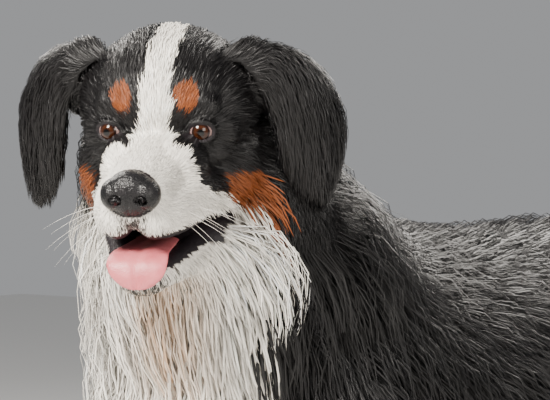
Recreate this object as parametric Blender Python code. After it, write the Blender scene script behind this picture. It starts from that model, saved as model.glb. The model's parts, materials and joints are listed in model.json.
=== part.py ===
"""A life-size bernese mountain dog, standing with its head turned a little to its left.

The dog faces -Y, its left side is +X and its paws stand on the floor at z = 0. The origin is on the
floor under the middle of the model's box. The body is a core of flesh and dense undercoat; flat,
tapered locks of the long coat are rooted in it. The whole is then parted into nodes by thin cuts.
"""

import math
import random

import bmesh
import bpy
import numpy as np
from mathutils import Matrix, Vector
from mathutils.bvhtree import BVHTree

# Gap that touching pieces keep, and the seed of every random draw.
GAP = 0.0003
SEED = 7
# Edges shorter than these are folded away in the coated pieces, the feet, and the head and ears.
COAT_EDGE = 0.0095
FOOT_EDGE = 0.003
FACE_EDGE = 0.004
# Least cosine of the angle that a face may turn by when an edge beside it is folded away, how often
# a fold that makes the surface cross itself is undone, and how near a cut's plane counts as on it.
SHARPEST_TURN = 0.8
FOLDING_ROUNDS = 8
ON_PLANE = 0.00001
# Smooth cores: voxel, rounds of smoothing, triangles.
BODY_CORE = (0.007, 8, 2400)
HEAD_CORE = (0.0045, 6, 1900)
JAW_CORE = (0.004, 4, 360)
NOSE_CORE = (0.0016, 3, 320)
# Edges that turn more than this are shaded sharp.
SHARP_EDGE = math.radians(35)
# How many ellipsoids melt into each form.
TORSO_BEADS = 60
NECK_BEADS = 14
LIMB_BEADS = 14
TAIL_BEADS = 30
FACE_BEADS = 8

# Torso stations, front to back: y, height of the centre, half width, half depth.
TORSO = (
    (-0.340, 0.488, 0.085, 0.092),
    (-0.290, 0.486, 0.118, 0.135),
    (-0.220, 0.490, 0.138, 0.170),
    (-0.100, 0.490, 0.140, 0.166),
    (0.020, 0.498, 0.136, 0.154),
    (0.140, 0.514, 0.124, 0.136),
    (0.240, 0.528, 0.114, 0.124),
    (0.310, 0.536, 0.094, 0.102),
    (0.345, 0.544, 0.060, 0.070),
)
TORSO_BEAD_DEPTH = 0.045

# Neck stations, shoulders to skull: x, y, z, half width, half depth along y, half height.
NECK = (
    (0.000, -0.180, 0.565, 0.115, 0.110, 0.096),
    (0.000, -0.268, 0.622, 0.120, 0.100, 0.092),
    (0.000, -0.326, 0.688, 0.114, 0.088, 0.086),
    (0.004, -0.362, 0.752, 0.088, 0.072, 0.072),
)

# Ruff stations under the chin, from the throat down: the same six numbers.
RUFF = (
    (0.036, -0.425, 0.672, 0.066, 0.040, 0.034),
    (0.022, -0.395, 0.640, 0.086, 0.050, 0.050),
    (0.008, -0.350, 0.580, 0.092, 0.050, 0.060),
)

# Leg stations on the left side: x, y, z, half width, half depth along y, half height.
SHOULDER = (
    (0.070, -0.190, 0.590, 0.045, 0.060, 0.060),
    (0.092, -0.262, 0.470, 0.052, 0.062, 0.070),
    (0.102, -0.222, 0.370, 0.046, 0.055, 0.055),
)
FORELEG = (
    (0.104, -0.215, 0.360, 0.046, 0.054, 0.050),
    (0.102, -0.222, 0.260, 0.039, 0.045, 0.050),
    (0.100, -0.232, 0.140, 0.034, 0.036, 0.040),
    (0.100, -0.244, 0.070, 0.034, 0.036, 0.035),
)
THIGH = (
    (0.070, 0.225, 0.500, 0.062, 0.092, 0.090),
    (0.094, 0.195, 0.410, 0.058, 0.088, 0.080),
    (0.102, 0.190, 0.335, 0.048, 0.064, 0.055),
)
SHANK = (
    (0.102, 0.200, 0.330, 0.045, 0.054, 0.050),
    (0.100, 0.268, 0.250, 0.034, 0.042, 0.042),
    (0.098, 0.325, 0.180, 0.026, 0.033, 0.034),
    (0.098, 0.326, 0.110, 0.025, 0.028, 0.034),
    (0.098, 0.316, 0.055, 0.027, 0.031, 0.032),
)

# Paws: the pad's middle and its half sizes, then the toes, side by side, and their claws.
FORE_PAW = (0.100, -0.268, 0.030)
HIND_PAW = (0.098, 0.290, 0.029)
PAW_RADII = (0.042, 0.050, 0.034)
TOE_RADII = (0.0175, 0.026, 0.022)
TOE_SPACING = 0.0205
TOE_REACH = 0.047
TOE_SETBACK = 0.007
TOE_HEIGHT = 0.020
CLAW_LENGTH = 0.020
CLAW_RADIUS = 0.0042
CLAW_SIDES = 5
CLAW_TILT = math.radians(108)
CLAW_DROP = 0.006

# Tail bone, root to tip: x, y, z, radius.
TAIL = (
    (0.000, 0.350, 0.590, 0.036),
    (0.000, 0.432, 0.548, 0.027),
    (0.004, 0.486, 0.450, 0.023),
    (0.010, 0.508, 0.340, 0.021),
    (0.018, 0.520, 0.245, 0.017),
    (0.024, 0.545, 0.175, 0.011),
)

# Depth of undercoat that the core adds over the flesh, by region.
TORSO_COAT = 0.016
NECK_COAT = 0.022
THIGH_COAT = 0.014
SHANK_COAT = 0.006
TAIL_COAT = 0.012
FACE_COAT = 0.004

# The head's frame: the middle between the eyes, the turn to the left and the dip of the muzzle.
EYE_MIDDLE = Vector((0.045, -0.470, 0.770))
HEAD_TURN = math.radians(26)
HEAD_DIP = math.radians(11)
HEAD = (
    Matrix.Translation(EYE_MIDDLE)
    @ Matrix.Rotation(HEAD_TURN, 4, "Z")
    @ Matrix.Rotation(HEAD_DIP, 4, "X")
)

# Eyeballs, lids and nose, in the head's frame: left, forward, up.
EYE = (0.0395, -0.0055, 0.000)
EYE_RADIUS = 0.0125
EYE_AXIS = (0.24, 1.0, 0.02)
EYE_OPENING = (0.0112, 0.0078)
LID_THICKNESS = 0.0024
LID_POINTS = 14
LID_SIDES = 4
OPENING_REACH = (0.5, 3.5)
NOSE = (0.000, 0.094, -0.034)
NOSE_RADII = (0.0225, 0.0165, 0.0205)
NOSE_WINGS = (((0.0150, 0.096, -0.034), (0.0115, 0.0150, 0.0140)),)
NOSTRIL = (0.0115, 0.112, -0.037)
NOSTRIL_RADII = (0.0052, 0.0075, 0.0042)

# Ear flap on the left, root to tip: left, forward, up, full width.
EAR = (
    (0.064, -0.062, 0.058, 0.052),
    (0.096, -0.068, 0.046, 0.066),
    (0.117, -0.074, 0.011, 0.074),
    (0.123, -0.077, -0.026, 0.068),
    (0.124, -0.078, -0.056, 0.046),
    (0.124, -0.078, -0.078, 0.014),
)
EAR_THICKNESS = 0.009
EAR_CUP = 0.010
EAR_ROWS = 9
EAR_POINTS = 10
EAR_CLEARANCE = 1.5 * GAP

# Tongue, throat to tip: left, forward, up, full width.
TONGUE = (
    (0.000, -0.012, -0.0960, 0.036),
    (0.000, 0.036, -0.0935, 0.044),
    (0.001, 0.074, -0.0905, 0.050),
    (0.002, 0.094, -0.0945, 0.054),
    (0.003, 0.101, -0.1040, 0.048),
    (0.003, 0.102, -0.1130, 0.030),
    (0.003, 0.102, -0.1160, 0.016),
)
TONGUE_THICKNESS = 0.007
TONGUE_ROWS = 10
TONGUE_POINTS = 8

# Finish of each material: colour, roughness.
FINISHES = {
    "coat_black": ((0.012, 0.012, 0.014), 0.55),
    "coat_face": ((0.60, 0.58, 0.56), 0.60),
    "coat_tan": ((0.40, 0.13, 0.04), 0.60),
    "coat_white": ((0.80, 0.75, 0.68), 0.60),
    "nose_leather": ((0.010, 0.010, 0.011), 0.30),
    "eye": ((0.10, 0.035, 0.015), 0.08),
    "tongue": ((0.72, 0.26, 0.28), 0.35),
}

SIDES = {"left": 1, "right": -1}


def clear_scene():
    for old in list(bpy.data.objects):
        bpy.data.objects.remove(old)


def material(name):
    colour, roughness = FINISHES[name]
    made = bpy.data.materials.get(name) or bpy.data.materials.new(name)
    made.use_nodes = True
    shader = made.node_tree.nodes["Principled BSDF"]
    shader.inputs["Base Color"].default_value = (*colour, 1)
    shader.inputs["Roughness"].default_value = roughness
    shader.inputs["Metallic"].default_value = 0
    return made


def object_from(bm, name):
    """A linked mesh object made from a bmesh, which is then freed."""
    mesh = bpy.data.meshes.new(name)
    bm.to_mesh(mesh)
    bm.free()
    made = bpy.data.objects.new(name, mesh)
    bpy.context.scene.collection.objects.link(made)
    return made


def applied(obj):
    """Gives the object the mesh that its modifiers make, and clears them."""
    graph = bpy.context.evaluated_depsgraph_get()
    mesh = bpy.data.meshes.new_from_object(obj.evaluated_get(graph))
    obj.modifiers.clear()
    obj.data = mesh
    return obj


def along(stations, count):
    """Rows read from a smooth curve through the stations, which are tuples of numbers."""
    last = len(stations) - 1
    rows = []
    for i in range(count):
        t = i / (count - 1) * last
        k = min(int(t), last - 1)
        f = t - k
        near = [stations[min(max(k + step, 0), last)] for step in (-1, 0, 1, 2)]
        rows.append(
            tuple(
                b + f / 2 * (c - a + f * (2 * a - 5 * b + 4 * c - d + f * (3 * (b - c) + d - a)))
                for a, b, c, d in zip(*near)
            )
        )
    return rows


def bead(bm, centre, radii, frame=Matrix.Identity(4), coat=0.0):
    """Adds an ellipsoid of flesh, grown by the undercoat's depth."""
    size = Matrix.Diagonal((*(r + coat for r in radii), 1))
    place = frame @ Matrix.Translation(centre) @ size
    bmesh.ops.create_icosphere(bm, subdivisions=3, radius=1, matrix=place)


def beads(bm, stations, count, side=1, coat=0.0):
    """Adds a row of ellipsoids along stations of x, y, z and three half sizes."""
    for x, y, z, *radii in along(stations, count):
        bead(bm, (side * x, y, z), radii, coat=coat)


def headed(left, forward, up):
    """A point of the head's frame as a vector in that frame, which faces -Y."""
    return Vector((left, -forward, up))


def melted(bm, name, core):
    """One smooth closed surface round the beads, with about as many triangles as its core says."""
    voxel, smoothing, triangles = core
    made = object_from(bm, name)
    remesh = made.modifiers.new("melt", "REMESH")
    remesh.mode = "VOXEL"
    remesh.voxel_size = voxel
    smooth = made.modifiers.new("smooth", "SMOOTH")
    smooth.iterations = smoothing
    smooth.factor = 0.5
    applied(made)
    faces = 2 * len(made.data.polygons)
    coarser = made.modifiers.new("coarser", "DECIMATE")
    coarser.ratio = min(1.0, triangles / faces)
    coarser.use_collapse_triangulate = True
    applied(made)
    return made


def toes(middle, side):
    """Middles of a paw's four toes, the two middle ones further forward."""
    x, y, _ = middle
    rows = [(k - 1.5, TOE_REACH - abs(k - 1.5) * TOE_SETBACK) for k in range(4)]
    return [Vector((side * x + k * TOE_SPACING, y - reach, TOE_HEIGHT)) for k, reach in rows]


def paw(bm, middle, side, coat):
    """The pad and four arched toes of a paw."""
    x, y, z = middle
    bead(bm, (side * x, y, z), PAW_RADII, coat=coat)
    for place in toes(middle, side):
        bead(bm, place, TOE_RADII, coat=coat / 2)


def claws():
    """Blunt claws, rooted in the fronts of the toes and clear of the floor."""
    made = []
    for side in SIDES.values():
        for middle in (FORE_PAW, HIND_PAW):
            for toe in toes(middle, side):
                bm = bmesh.new()
                place = Matrix.Translation(toe + Vector((0, -TOE_RADII[1], -CLAW_DROP)))
                tilt = Matrix.Rotation(CLAW_TILT, 4, "X")
                bmesh.ops.create_cone(bm, cap_ends=True, segments=CLAW_SIDES, radius1=CLAW_RADIUS,
                                      radius2=0, depth=CLAW_LENGTH, matrix=place @ tilt)
                made.append(object_from(bm, "claw"))
    return made


def body_core():
    """Torso, neck, legs and tail as one closed surface."""
    bm = bmesh.new()
    for y, z, half_width, half_depth in along(TORSO, TORSO_BEADS):
        bead(bm, (0, y, z), (half_width, TORSO_BEAD_DEPTH, half_depth), coat=TORSO_COAT)
    beads(bm, NECK, NECK_BEADS, coat=NECK_COAT)
    beads(bm, RUFF, FACE_BEADS, coat=NECK_COAT)
    for side in SIDES.values():
        beads(bm, SHOULDER, LIMB_BEADS, side, THIGH_COAT)
        beads(bm, FORELEG, LIMB_BEADS, side, SHANK_COAT)
        beads(bm, THIGH, LIMB_BEADS, side, THIGH_COAT)
        beads(bm, SHANK, LIMB_BEADS, side, SHANK_COAT)
        paw(bm, FORE_PAW, side, FACE_COAT)
        paw(bm, HIND_PAW, side, FACE_COAT)
    for x, y, z, radius in along(TAIL, TAIL_BEADS):
        bead(bm, (x, y, z), (radius,) * 3, coat=TAIL_COAT)
    return melted(bm, "body_core", BODY_CORE)


# Head ellipsoids that stand on the midline: left, forward, up and half sizes in that order.
HEAD_MIDDLE = {
    "skull": ((0, -0.060, 0.018), (0.072, 0.072, 0.062)),
    "occiput": ((0, -0.100, 0.016), (0.060, 0.040, 0.050)),
    "forehead": ((0, -0.026, 0.026), (0.052, 0.032, 0.036)),
    "throat": ((0, -0.080, -0.050), (0.056, 0.045, 0.050)),
    "palate": ((0, 0.030, -0.052), (0.036, 0.052, 0.020)),
}
# Head ellipsoids that come in pairs, given on the left.
HEAD_PAIRS = {
    "brow": ((0.031, -0.013, 0.019), (0.025, 0.019, 0.018)),
    "temple": ((0.048, -0.056, 0.012), (0.030, 0.044, 0.044)),
    "cheek": ((0.045, -0.058, -0.040), (0.036, 0.046, 0.046)),
    "cheek_bone": ((0.046, -0.032, -0.018), (0.020, 0.030, 0.020)),
    "lip_corner": ((0.040, -0.036, -0.060), (0.024, 0.036, 0.028)),
    "muzzle_root": ((0.022, 0.008, -0.032), (0.026, 0.034, 0.032)),
}
# Muzzle and flew stations: left, forward, up, then half sizes.
MUZZLE = (
    (0, 0.005, -0.032, 0.035, 0.022, 0.030),
    (0, 0.050, -0.038, 0.033, 0.022, 0.028),
    (0, 0.084, -0.042, 0.030, 0.018, 0.026),
)
BRIDGE = (
    (0, 0.000, -0.012, 0.020, 0.018, 0.013),
    (0, 0.050, -0.020, 0.019, 0.018, 0.012),
    (0, 0.084, -0.025, 0.020, 0.014, 0.011),
)
FLEW = (
    (0.017, 0.084, -0.058, 0.017, 0.014, 0.019),
    (0.025, 0.060, -0.058, 0.017, 0.020, 0.022),
    (0.032, 0.025, -0.057, 0.017, 0.022, 0.024),
    (0.042, -0.012, -0.056, 0.015, 0.022, 0.024),
)
# Lower jaw: the chin, the floor between the bones, and one side from chin to hinge.
JAW_MIDDLE = {
    "chin": ((0, 0.066, -0.115), (0.022, 0.022, 0.015)),
    "floor": ((0, 0.010, -0.110), (0.032, 0.056, 0.010)),
}
JAW_SIDE = (
    (0.014, 0.062, -0.112, 0.012, 0.016, 0.013),
    (0.029, 0.026, -0.106, 0.013, 0.020, 0.014),
    (0.040, -0.016, -0.098, 0.014, 0.022, 0.015),
    (0.046, -0.046, -0.086, 0.014, 0.022, 0.016),
)
# Share of the neck's beads, counted from the shoulders, that the head's own surface leaves out.
NECK_BELOW_HEAD = 8


def head_bead(bm, place, radii, side, coat=FACE_COAT):
    left, forward, up = place
    bead(bm, headed(side * left, forward, up), radii, HEAD, coat)


def head_row(bm, stations, side):
    for left, forward, up, *radii in along(stations, FACE_BEADS):
        head_bead(bm, (left, forward, up), radii, side)


def head_core():
    """Skull, muzzle and the top of the neck as one closed surface, without the lower jaw."""
    bm = bmesh.new()
    for place, radii in HEAD_MIDDLE.values():
        head_bead(bm, place, radii, 1)
    head_row(bm, MUZZLE, 1)
    head_row(bm, BRIDGE, 1)
    for side in SIDES.values():
        for place, radii in HEAD_PAIRS.values():
            head_bead(bm, place, radii, side)
        head_row(bm, FLEW, side)
    for x, y, z, *radii in along(NECK, NECK_BEADS)[NECK_BELOW_HEAD:]:
        bead(bm, (x, y, z), radii, coat=NECK_COAT)
    return melted(bm, "head_core", HEAD_CORE)


def jaw_core():
    bm = bmesh.new()
    for place, radii in JAW_MIDDLE.values():
        head_bead(bm, place, radii, 1)
    for side in SIDES.values():
        head_row(bm, JAW_SIDE, side)
    return melted(bm, "lower_jaw", JAW_CORE)


def island_of(face, seen):
    """The faces that hang together with this one."""
    seen.add(face)
    found, waiting = [], [face]
    while waiting:
        here = waiting.pop()
        found.append(here)
        for edge in here.edges:
            for other in edge.link_faces:
                if other not in seen:
                    seen.add(other)
                    waiting.append(other)
    return found


def keep_largest(obj):
    """Leaves the object its largest closed surface."""
    bm = bmesh.new()
    bm.from_mesh(obj.data)
    seen = set()
    islands = [island_of(face, seen) for face in bm.faces if face not in seen]
    islands.sort(key=lambda faces: sum(face.calc_area() for face in faces))
    scraps = [face for faces in islands[:-1] for face in faces]
    bmesh.ops.delete(bm, geom=scraps, context="FACES")
    loose = [vert for vert in bm.verts if not vert.link_faces]
    bmesh.ops.delete(bm, geom=loose, context="VERTS")
    bm.to_mesh(obj.data)
    bm.free()
    return obj


def copied(obj, name):
    made = bpy.data.objects.new(name, obj.data.copy())
    bpy.context.scene.collection.objects.link(made)
    return made


def removed(obj):
    bpy.data.objects.remove(obj)


def joined(obj, pieces):
    """Fuses a list of closed objects into this one with one union, and removes them."""
    group = bpy.data.collections.new("pieces")
    bpy.context.scene.collection.children.link(group)
    for piece in pieces:
        bpy.context.scene.collection.objects.unlink(piece)
        group.objects.link(piece)
    union = obj.modifiers.new("union", "BOOLEAN")
    union.operation = "UNION"
    union.operand_type = "COLLECTION"
    union.collection = group
    union.solver = "MANIFOLD"
    applied(obj)
    for piece in pieces:
        removed(piece)
    bpy.data.collections.remove(group)
    return keep_largest(obj)


def corner_normal(a, b, c):
    return (b - a).cross(c - a)


def worst_turn(places, faces, pair, to):
    """The worst turn of these faces, as a cosine, when the pair of corners moves to that place."""
    worst = 1.0
    for face in faces:
        before = corner_normal(*(places[corner] for corner in face))
        after = corner_normal(*(to if corner in pair else places[corner] for corner in face))
        size = before.length * after.length
        worst = min(worst, before.dot(after) / size if size > 0 else -1.0)
    return worst


def folded(places, faces, shortest, planes, fixed):
    """Folds away short edges, and gives the new places, the faces left and what each corner took in.

    An edge is kept where one end is fixed, where its ends don't lie on the same planes, where a face
    would turn too far and where the surface would touch itself.
    """
    places, faces = list(places), list(faces)
    around = [set() for _ in places]
    edges = set()
    for number, face in enumerate(faces):
        for i, corner in enumerate(face):
            around[corner].add(number)
            edges.add(tuple(sorted((corner, face[i - 1]))))
    taken_in = [{corner} for corner in range(len(places))]
    lengths = sorted(((places[a] - places[b]).length, a, b) for a, b in edges)
    for length, kept, gone in lengths:
        if length > shortest:
            break
        if kept in fixed or gone in fixed or planes[kept] != planes[gone]:
            continue
        shared = around[kept] & around[gone]
        if len(shared) != 2 or (places[kept] - places[gone]).length > shortest:
            continue
        near = [{corner for number in around[end] for corner in faces[number]} for end in (kept, gone)]
        if len(near[0] & near[1]) != 4:
            continue
        old = {frozenset(faces[number]) for number in around[kept] - shared}
        new = [frozenset(faces[number]) - {gone} | {kept} for number in around[gone] - shared]
        if old & set(new) or len(set(new)) < len(new):
            continue
        touched = [faces[number] for number in (around[kept] | around[gone]) - shared]
        middle = (places[kept] + places[gone]) / 2
        choices = [(worst_turn(places, touched, (kept, gone), to), i, to)
                   for i, to in enumerate((places[kept], places[gone], middle))]
        best, _, to = max(choices)
        if best < SHARPEST_TURN:
            continue
        places[kept] = to
        taken_in[kept] |= taken_in[gone]
        for number in shared:
            for corner in faces[number]:
                around[corner].discard(number)
            faces[number] = None
        for number in around[gone]:
            faces[number] = [kept if corner == gone else corner for corner in faces[number]]
            around[kept].add(number)
        around[gone] = set()
    return places, [face for face in faces if face], taken_in


def crossing_corners(places, faces):
    """Corners of the faces that cross others with which they share no corner."""
    tree = BVHTree.FromPolygons(places, faces)
    found = set()
    for one, other in tree.overlap(tree):
        if one < other and not set(faces[one]) & set(faces[other]):
            found.update(faces[one] + faces[other])
    return found


def simplified(obj, shortest, flats=()):
    """Folds away edges shorter than that, and undoes it wherever the surface would cross itself.

    flats are planes, as a point and a normal, in which the vertices on them stay.
    """
    bm = bmesh.new()
    bm.from_mesh(obj.data)
    bmesh.ops.triangulate(bm, faces=bm.faces)
    before = [vert.co.copy() for vert in bm.verts]
    triangles = [[vert.index for vert in face.verts] for face in bm.faces]
    bm.free()
    planes = [
        tuple(abs((place - point).dot(normal)) < ON_PLANE for point, normal in flats) for place in before
    ]
    fixed = set()
    for _ in range(FOLDING_ROUNDS):
        places, faces, taken_in = folded(before, triangles, shortest, planes, fixed)
        crossing = crossing_corners(places, faces)
        if not crossing:
            break
        for corner in crossing:
            fixed |= taken_in[corner]
    used = sorted({corner for face in faces for corner in face})
    number = {corner: i for i, corner in enumerate(used)}
    mesh = bpy.data.meshes.new(obj.name)
    mesh.from_pydata([places[corner] for corner in used], [], [[number[c] for c in face] for face in faces])
    obj.data = mesh
    return obj


def carved(obj, operation, tool):
    """Cuts the object by a closed tool, or keeps what the two share, and removes the tool."""
    cut = obj.modifiers.new("cut", "BOOLEAN")
    cut.operation = operation
    cut.object = tool
    cut.solver = "MANIFOLD"
    applied(obj)
    removed(tool)
    return keep_largest(obj)


def grown(obj, distance):
    """A copy of a smooth object with its surface pushed out by that distance."""
    made = copied(obj, obj.name + "_grown")
    bm = bmesh.new()
    bm.from_mesh(made.data)
    bm.normal_update()
    moves = [distance * vert.normal * vert.calc_shell_factor() for vert in bm.verts]
    for vert, move in zip(bm.verts, moves):
        vert.co += move
    bm.to_mesh(made.data)
    bm.free()
    return made


def pushed_out(outline, distance):
    """A convex outline, counter-clockwise, with each of its edges moved out."""
    count = len(outline)
    moved = []
    for i, (y, z) in enumerate(outline):
        normals = []
        for a, b in ((outline[i - 1], (y, z)), ((y, z), outline[(i + 1) % count])):
            run, rise = b[0] - a[0], b[1] - a[1]
            size = math.hypot(run, rise)
            normals.append((rise / size, -run / size))
        (ny, nz), (my, mz) = normals
        share = distance / (1 + ny * my + nz * mz)
        moved.append((y + share * (ny + my), z + share * (nz + mz)))
    return moved


def block(outline, low, high, grow=0.0, frame=Matrix.Identity(4)):
    """A prism with this outline in the frame's y and z, from low to high along its x."""
    bm = bmesh.new()
    rings = []
    for x in (low - grow, high + grow):
        rings.append([bm.verts.new(frame @ Vector((x, y, z))) for y, z in pushed_out(outline, grow)])
    bm.faces.new(reversed(rings[0]))
    bm.faces.new(rings[1])
    for i in range(len(outline)):
        j = (i + 1) % len(outline)
        bm.faces.new((rings[0][i], rings[0][j], rings[1][j], rings[1][i]))
    bmesh.ops.recalc_face_normals(bm, faces=bm.faces)
    return object_from(bm, "block")


# A lock's rings along its length: share of the length, height as a share of its lift, share of
# its width and share of its thickness. Its root is a point sunk in the core.
LOCK_RINGS = (
    (0.24, 0.12, 1.00, 1.0),
    (0.66, 0.62, 0.85, 0.8),
)
LOCK_ROOT_DEPTH = 0.012
LOCK_THICKNESS = 0.010
LOCK_VARIATION = 0.15
# Locks by region: length, width, lift of the tip, and how much longer and higher they grow.
TORSO_LOCK = (0.165, 0.118, 0.020, 0.020, 0.008)
NECK_LOCK = (0.115, 0.062, 0.030, 0.030, 0.006)
BIB_LOCK = (0.120, 0.062, 0.028, 0, 0)
FEATHERING_LOCK = (0.085, 0.036, 0.016, 0.030, 0)
BREECHES_LOCK = (0.125, 0.068, 0.018, 0.060, 0)
TAIL_LOCK = (0.110, 0.050, 0.016, 0, 0)
CHEEK_LOCK = (0.055, 0.036, 0.010, 0, 0)
EAR_LOCK = (0.060, 0.034, 0.004, 0, 0)
EAR_LOCK_ROOT_DEPTH = 0.0025
EAR_LOCK_THICKNESS = 0.005
# How the locks are set out: rows, rings, and the locks in each. Angles run down from the spine.
TORSO_ROWS = 7
TORSO_LOCKS_A_SIDE = 5
TORSO_FIRST_ANGLE = math.radians(16)
TORSO_STEP = math.radians(37)
TORSO_STAGGER = 0.38
TORSO_LAST_ANGLE = math.radians(170)
NECK_RINGS = 6
NECK_RING_LOCKS = 10
RUFF_ROWS = 2
CHEST_ROWS = 4
CHEST_MIDDLE = -0.24
CHEST_TOP = 0.58
CHEST_DROP = 0.060
BIB_ROW_LOCKS = 4
BIB_STEP = math.radians(28)
FEATHERING_LOCKS = 5
BREECHES_ROWS = 5
BREECHES_TURNS = (0.0, 1.3)
TAIL_RINGS = 7
TAIL_RING_LOCKS = 3
CHEEK_LOCKS = 4
EAR_LOCK_ROWS = 4
# Front and back edge of the flap: place as a share of its half width, and spread outward.
EAR_LOCK_EDGES = ((-0.7, -0.15), (0.7, 0.385))
# How steeply the locks fall, how much they droop towards their tips, which share of them hangs free of
# the surface, and how far they spread from it.
TORSO_FALL = 1.1
TORSO_DROOP = 0.4
FRONT_FALL = 0.8
NECK_DROOP = 0.5
BIB_SHIFT = 0.25
BIB_SPREAD = 0.3
BIB_DROOP = 0.3
BIB_FREE = 0.25
FEATHERING_LIE = Vector((0, 0.5, -1))
FEATHERING_TURN = 0.3
FEATHERING_DROOP = 0.4
FEATHERING_FREE = 0.4
BREECHES_LIE = Vector((0, 0.55, -1))
BREECHES_STAGGER = 0.4
BREECHES_DROOP = 0.4
BREECHES_FREE = 0.3
TAIL_SETBACK = 0.004
TAIL_FREE = 0.55
TAIL_SPREAD = 0.25
CHEEK_ROOT = Vector((0.070, -0.050, -0.015))
CHEEK_STEP = Vector((0, -0.006, -0.026))
CHEEK_LIE = (0, -0.7, -0.9)
EAR_LIE = (0.25, 0.06, -1)
EAR_FREE = 0.8
# Least cosine between the surface at one ring and at the next for the lock to go on following it.
LOCK_STEADINESS = 0.6


def surface_of(obj):
    bm = bmesh.new()
    bm.from_mesh(obj.data)
    tree = BVHTree.FromBMesh(bm)
    bm.free()
    return tree


def lock(tree, root, lie, length, width, lift, droop=0.0, free=0.0, depth=LOCK_ROOT_DEPTH,
         thickness=LOCK_THICKNESS):
    """A flat, tapered lock that leaves the surface at its root and follows it along the lie.

    droop pulls it down more and more towards its tip, and free is the share of its length, from
    the tip, over which it no longer follows the surface. A lock that would cross itself is straight.
    """
    here, out, *_ = tree.find_nearest(root)
    heading = (lie - lie.dot(out) * out).normalized()
    bm = bmesh.new()
    start = bm.verts.new(here - out * depth)
    rings, done = [], 0.0
    for share, height, wide, thick in LOCK_RINGS + ((1.0, 1.0, 0.0, 0.0),):
        heading = (heading + droop * share * Vector((0, 0, -1))).normalized()
        here = here + heading * (share - done) * length
        done = share
        place, facing, *_ = tree.find_nearest(here)
        if share <= 1 - free and facing.dot(out) > LOCK_STEADINESS:
            here, out = place, (facing + out).normalized()
        heading = (heading - heading.dot(out) * out).normalized()
        middle = here + out * height * lift
        across = heading.cross(out).normalized() * width / 2 * wide
        corners = (middle - across, middle + across, middle + out * thickness * thick)
        if share < 1:
            rings.append([bm.verts.new(corner) for corner in corners])
    tip = bm.verts.new(middle)
    for low, high in zip(rings, rings[1:]):
        for i in range(3):
            j = (i + 1) % 3
            bm.faces.new((low[i], low[j], high[j], high[i]))
    for i in range(3):
        j = (i + 1) % 3
        bm.faces.new((rings[0][i], rings[0][j], start))
        bm.faces.new((rings[-1][i], rings[-1][j], tip))
    bmesh.ops.triangulate(bm, faces=bm.faces)
    bmesh.ops.recalc_face_normals(bm, faces=bm.faces)
    bm.verts.index_update()
    triangles = [[vert.index for vert in face.verts] for face in bm.faces]
    if free < 1 and crossing_corners([vert.co.copy() for vert in bm.verts], triangles):
        bm.free()
        return lock(tree, root, lie, length, width, lift, 0.0, 1.0, depth, thickness)
    return object_from(bm, "lock")


def varied(rng, size):
    return size * (1 + rng.uniform(-LOCK_VARIATION, LOCK_VARIATION))


def sized_lock(tree, rng, root, lie, size, growth, **bend):
    """A lock of a region's size, varied, and grown by a share of what that size says it grows by."""
    length, width, lift, longer, higher = size
    return lock(tree, root, lie, varied(rng, length + longer * growth), varied(rng, width),
                lift + higher * growth, **bend)


def struck(tree, start, way):
    """Where a ray from inside leaves the surface, or None."""
    place, *_ = tree.ray_cast(start, way.normalized())
    return place


def torso_locks(tree, rng):
    """Rows of locks that lie back along the trunk and down its sides, longer below."""
    made = []
    for row, (y, z, *_) in enumerate(along(TORSO, TORSO_ROWS + 1)[1:]):
        for k in range(TORSO_LOCKS_A_SIDE):
            angle = TORSO_FIRST_ANGLE + TORSO_STEP * (k + TORSO_STAGGER * (row % 2))
            if angle > TORSO_LAST_ANGLE:
                continue
            low = math.sin(angle / 2)
            for side in SIDES.values():
                way = Vector((side * math.sin(angle), 0, math.cos(angle)))
                root = struck(tree, Vector((0, y, z)), way)
                lie = Vector((0, 1, -TORSO_FALL * math.sin(angle)))
                made.append(sized_lock(tree, rng, root, lie, TORSO_LOCK, low, droop=TORSO_DROOP * low))
    return made


def ring_locks(tree, rng, here, axis, upward, count, turned, size, droop=0.0, free=0.0, spread=0.0):
    """Locks rooted all round a point of an axis, which lie along it and spread outward."""
    side_way = axis.cross(upward).normalized()
    back_way = side_way.cross(axis).normalized()
    made = []
    for k in range(count):
        angle = 2 * math.pi * (k + turned) / count
        way = math.cos(angle) * back_way + math.sin(angle) * side_way
        root = struck(tree, here, way)
        front = max(0.0, -way.y)
        lie = axis + Vector((0, 0, -FRONT_FALL * front)) + spread * way
        made.append(sized_lock(tree, rng, root, lie, size, front, droop=droop, free=free))
    return made


def neck_locks(tree, rng):
    """Rings of mane round the neck that lie towards the shoulders and the chest."""
    made = []
    rows = [Vector(row[:3]) for row in along(NECK, NECK_RINGS + 2)]
    for ring in range(NECK_RINGS + 1, 1, -1):
        axis = (rows[ring - 1] - rows[ring]).normalized()
        made += ring_locks(tree, rng, rows[ring], axis, Vector((0, 0, 1)), NECK_RING_LOCKS,
                           0.5 * (ring % 2), NECK_LOCK, droop=NECK_DROOP)
    return made


def bib_locks(tree, rng):
    """Rows that hang from the ruff and down the front of the chest."""
    made = []
    starts = [Vector(row[:3]) for row in along(RUFF, RUFF_ROWS)]
    starts += [Vector((0, CHEST_MIDDLE, CHEST_TOP - CHEST_DROP * row)) for row in range(CHEST_ROWS)]
    for row, start in enumerate(starts):
        for k in range(BIB_ROW_LOCKS):
            angle = BIB_STEP * (k - (BIB_ROW_LOCKS - 1) / 2 + 0.5 * (row % 2) - BIB_SHIFT)
            way = Vector((math.sin(angle), -math.cos(angle), 0))
            root = struck(tree, start, way)
            lie = Vector((0, 0, -1)) + BIB_SPREAD * way
            made.append(sized_lock(tree, rng, root, lie, BIB_LOCK, 0, droop=BIB_DROOP, free=BIB_FREE))
    return made


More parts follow.
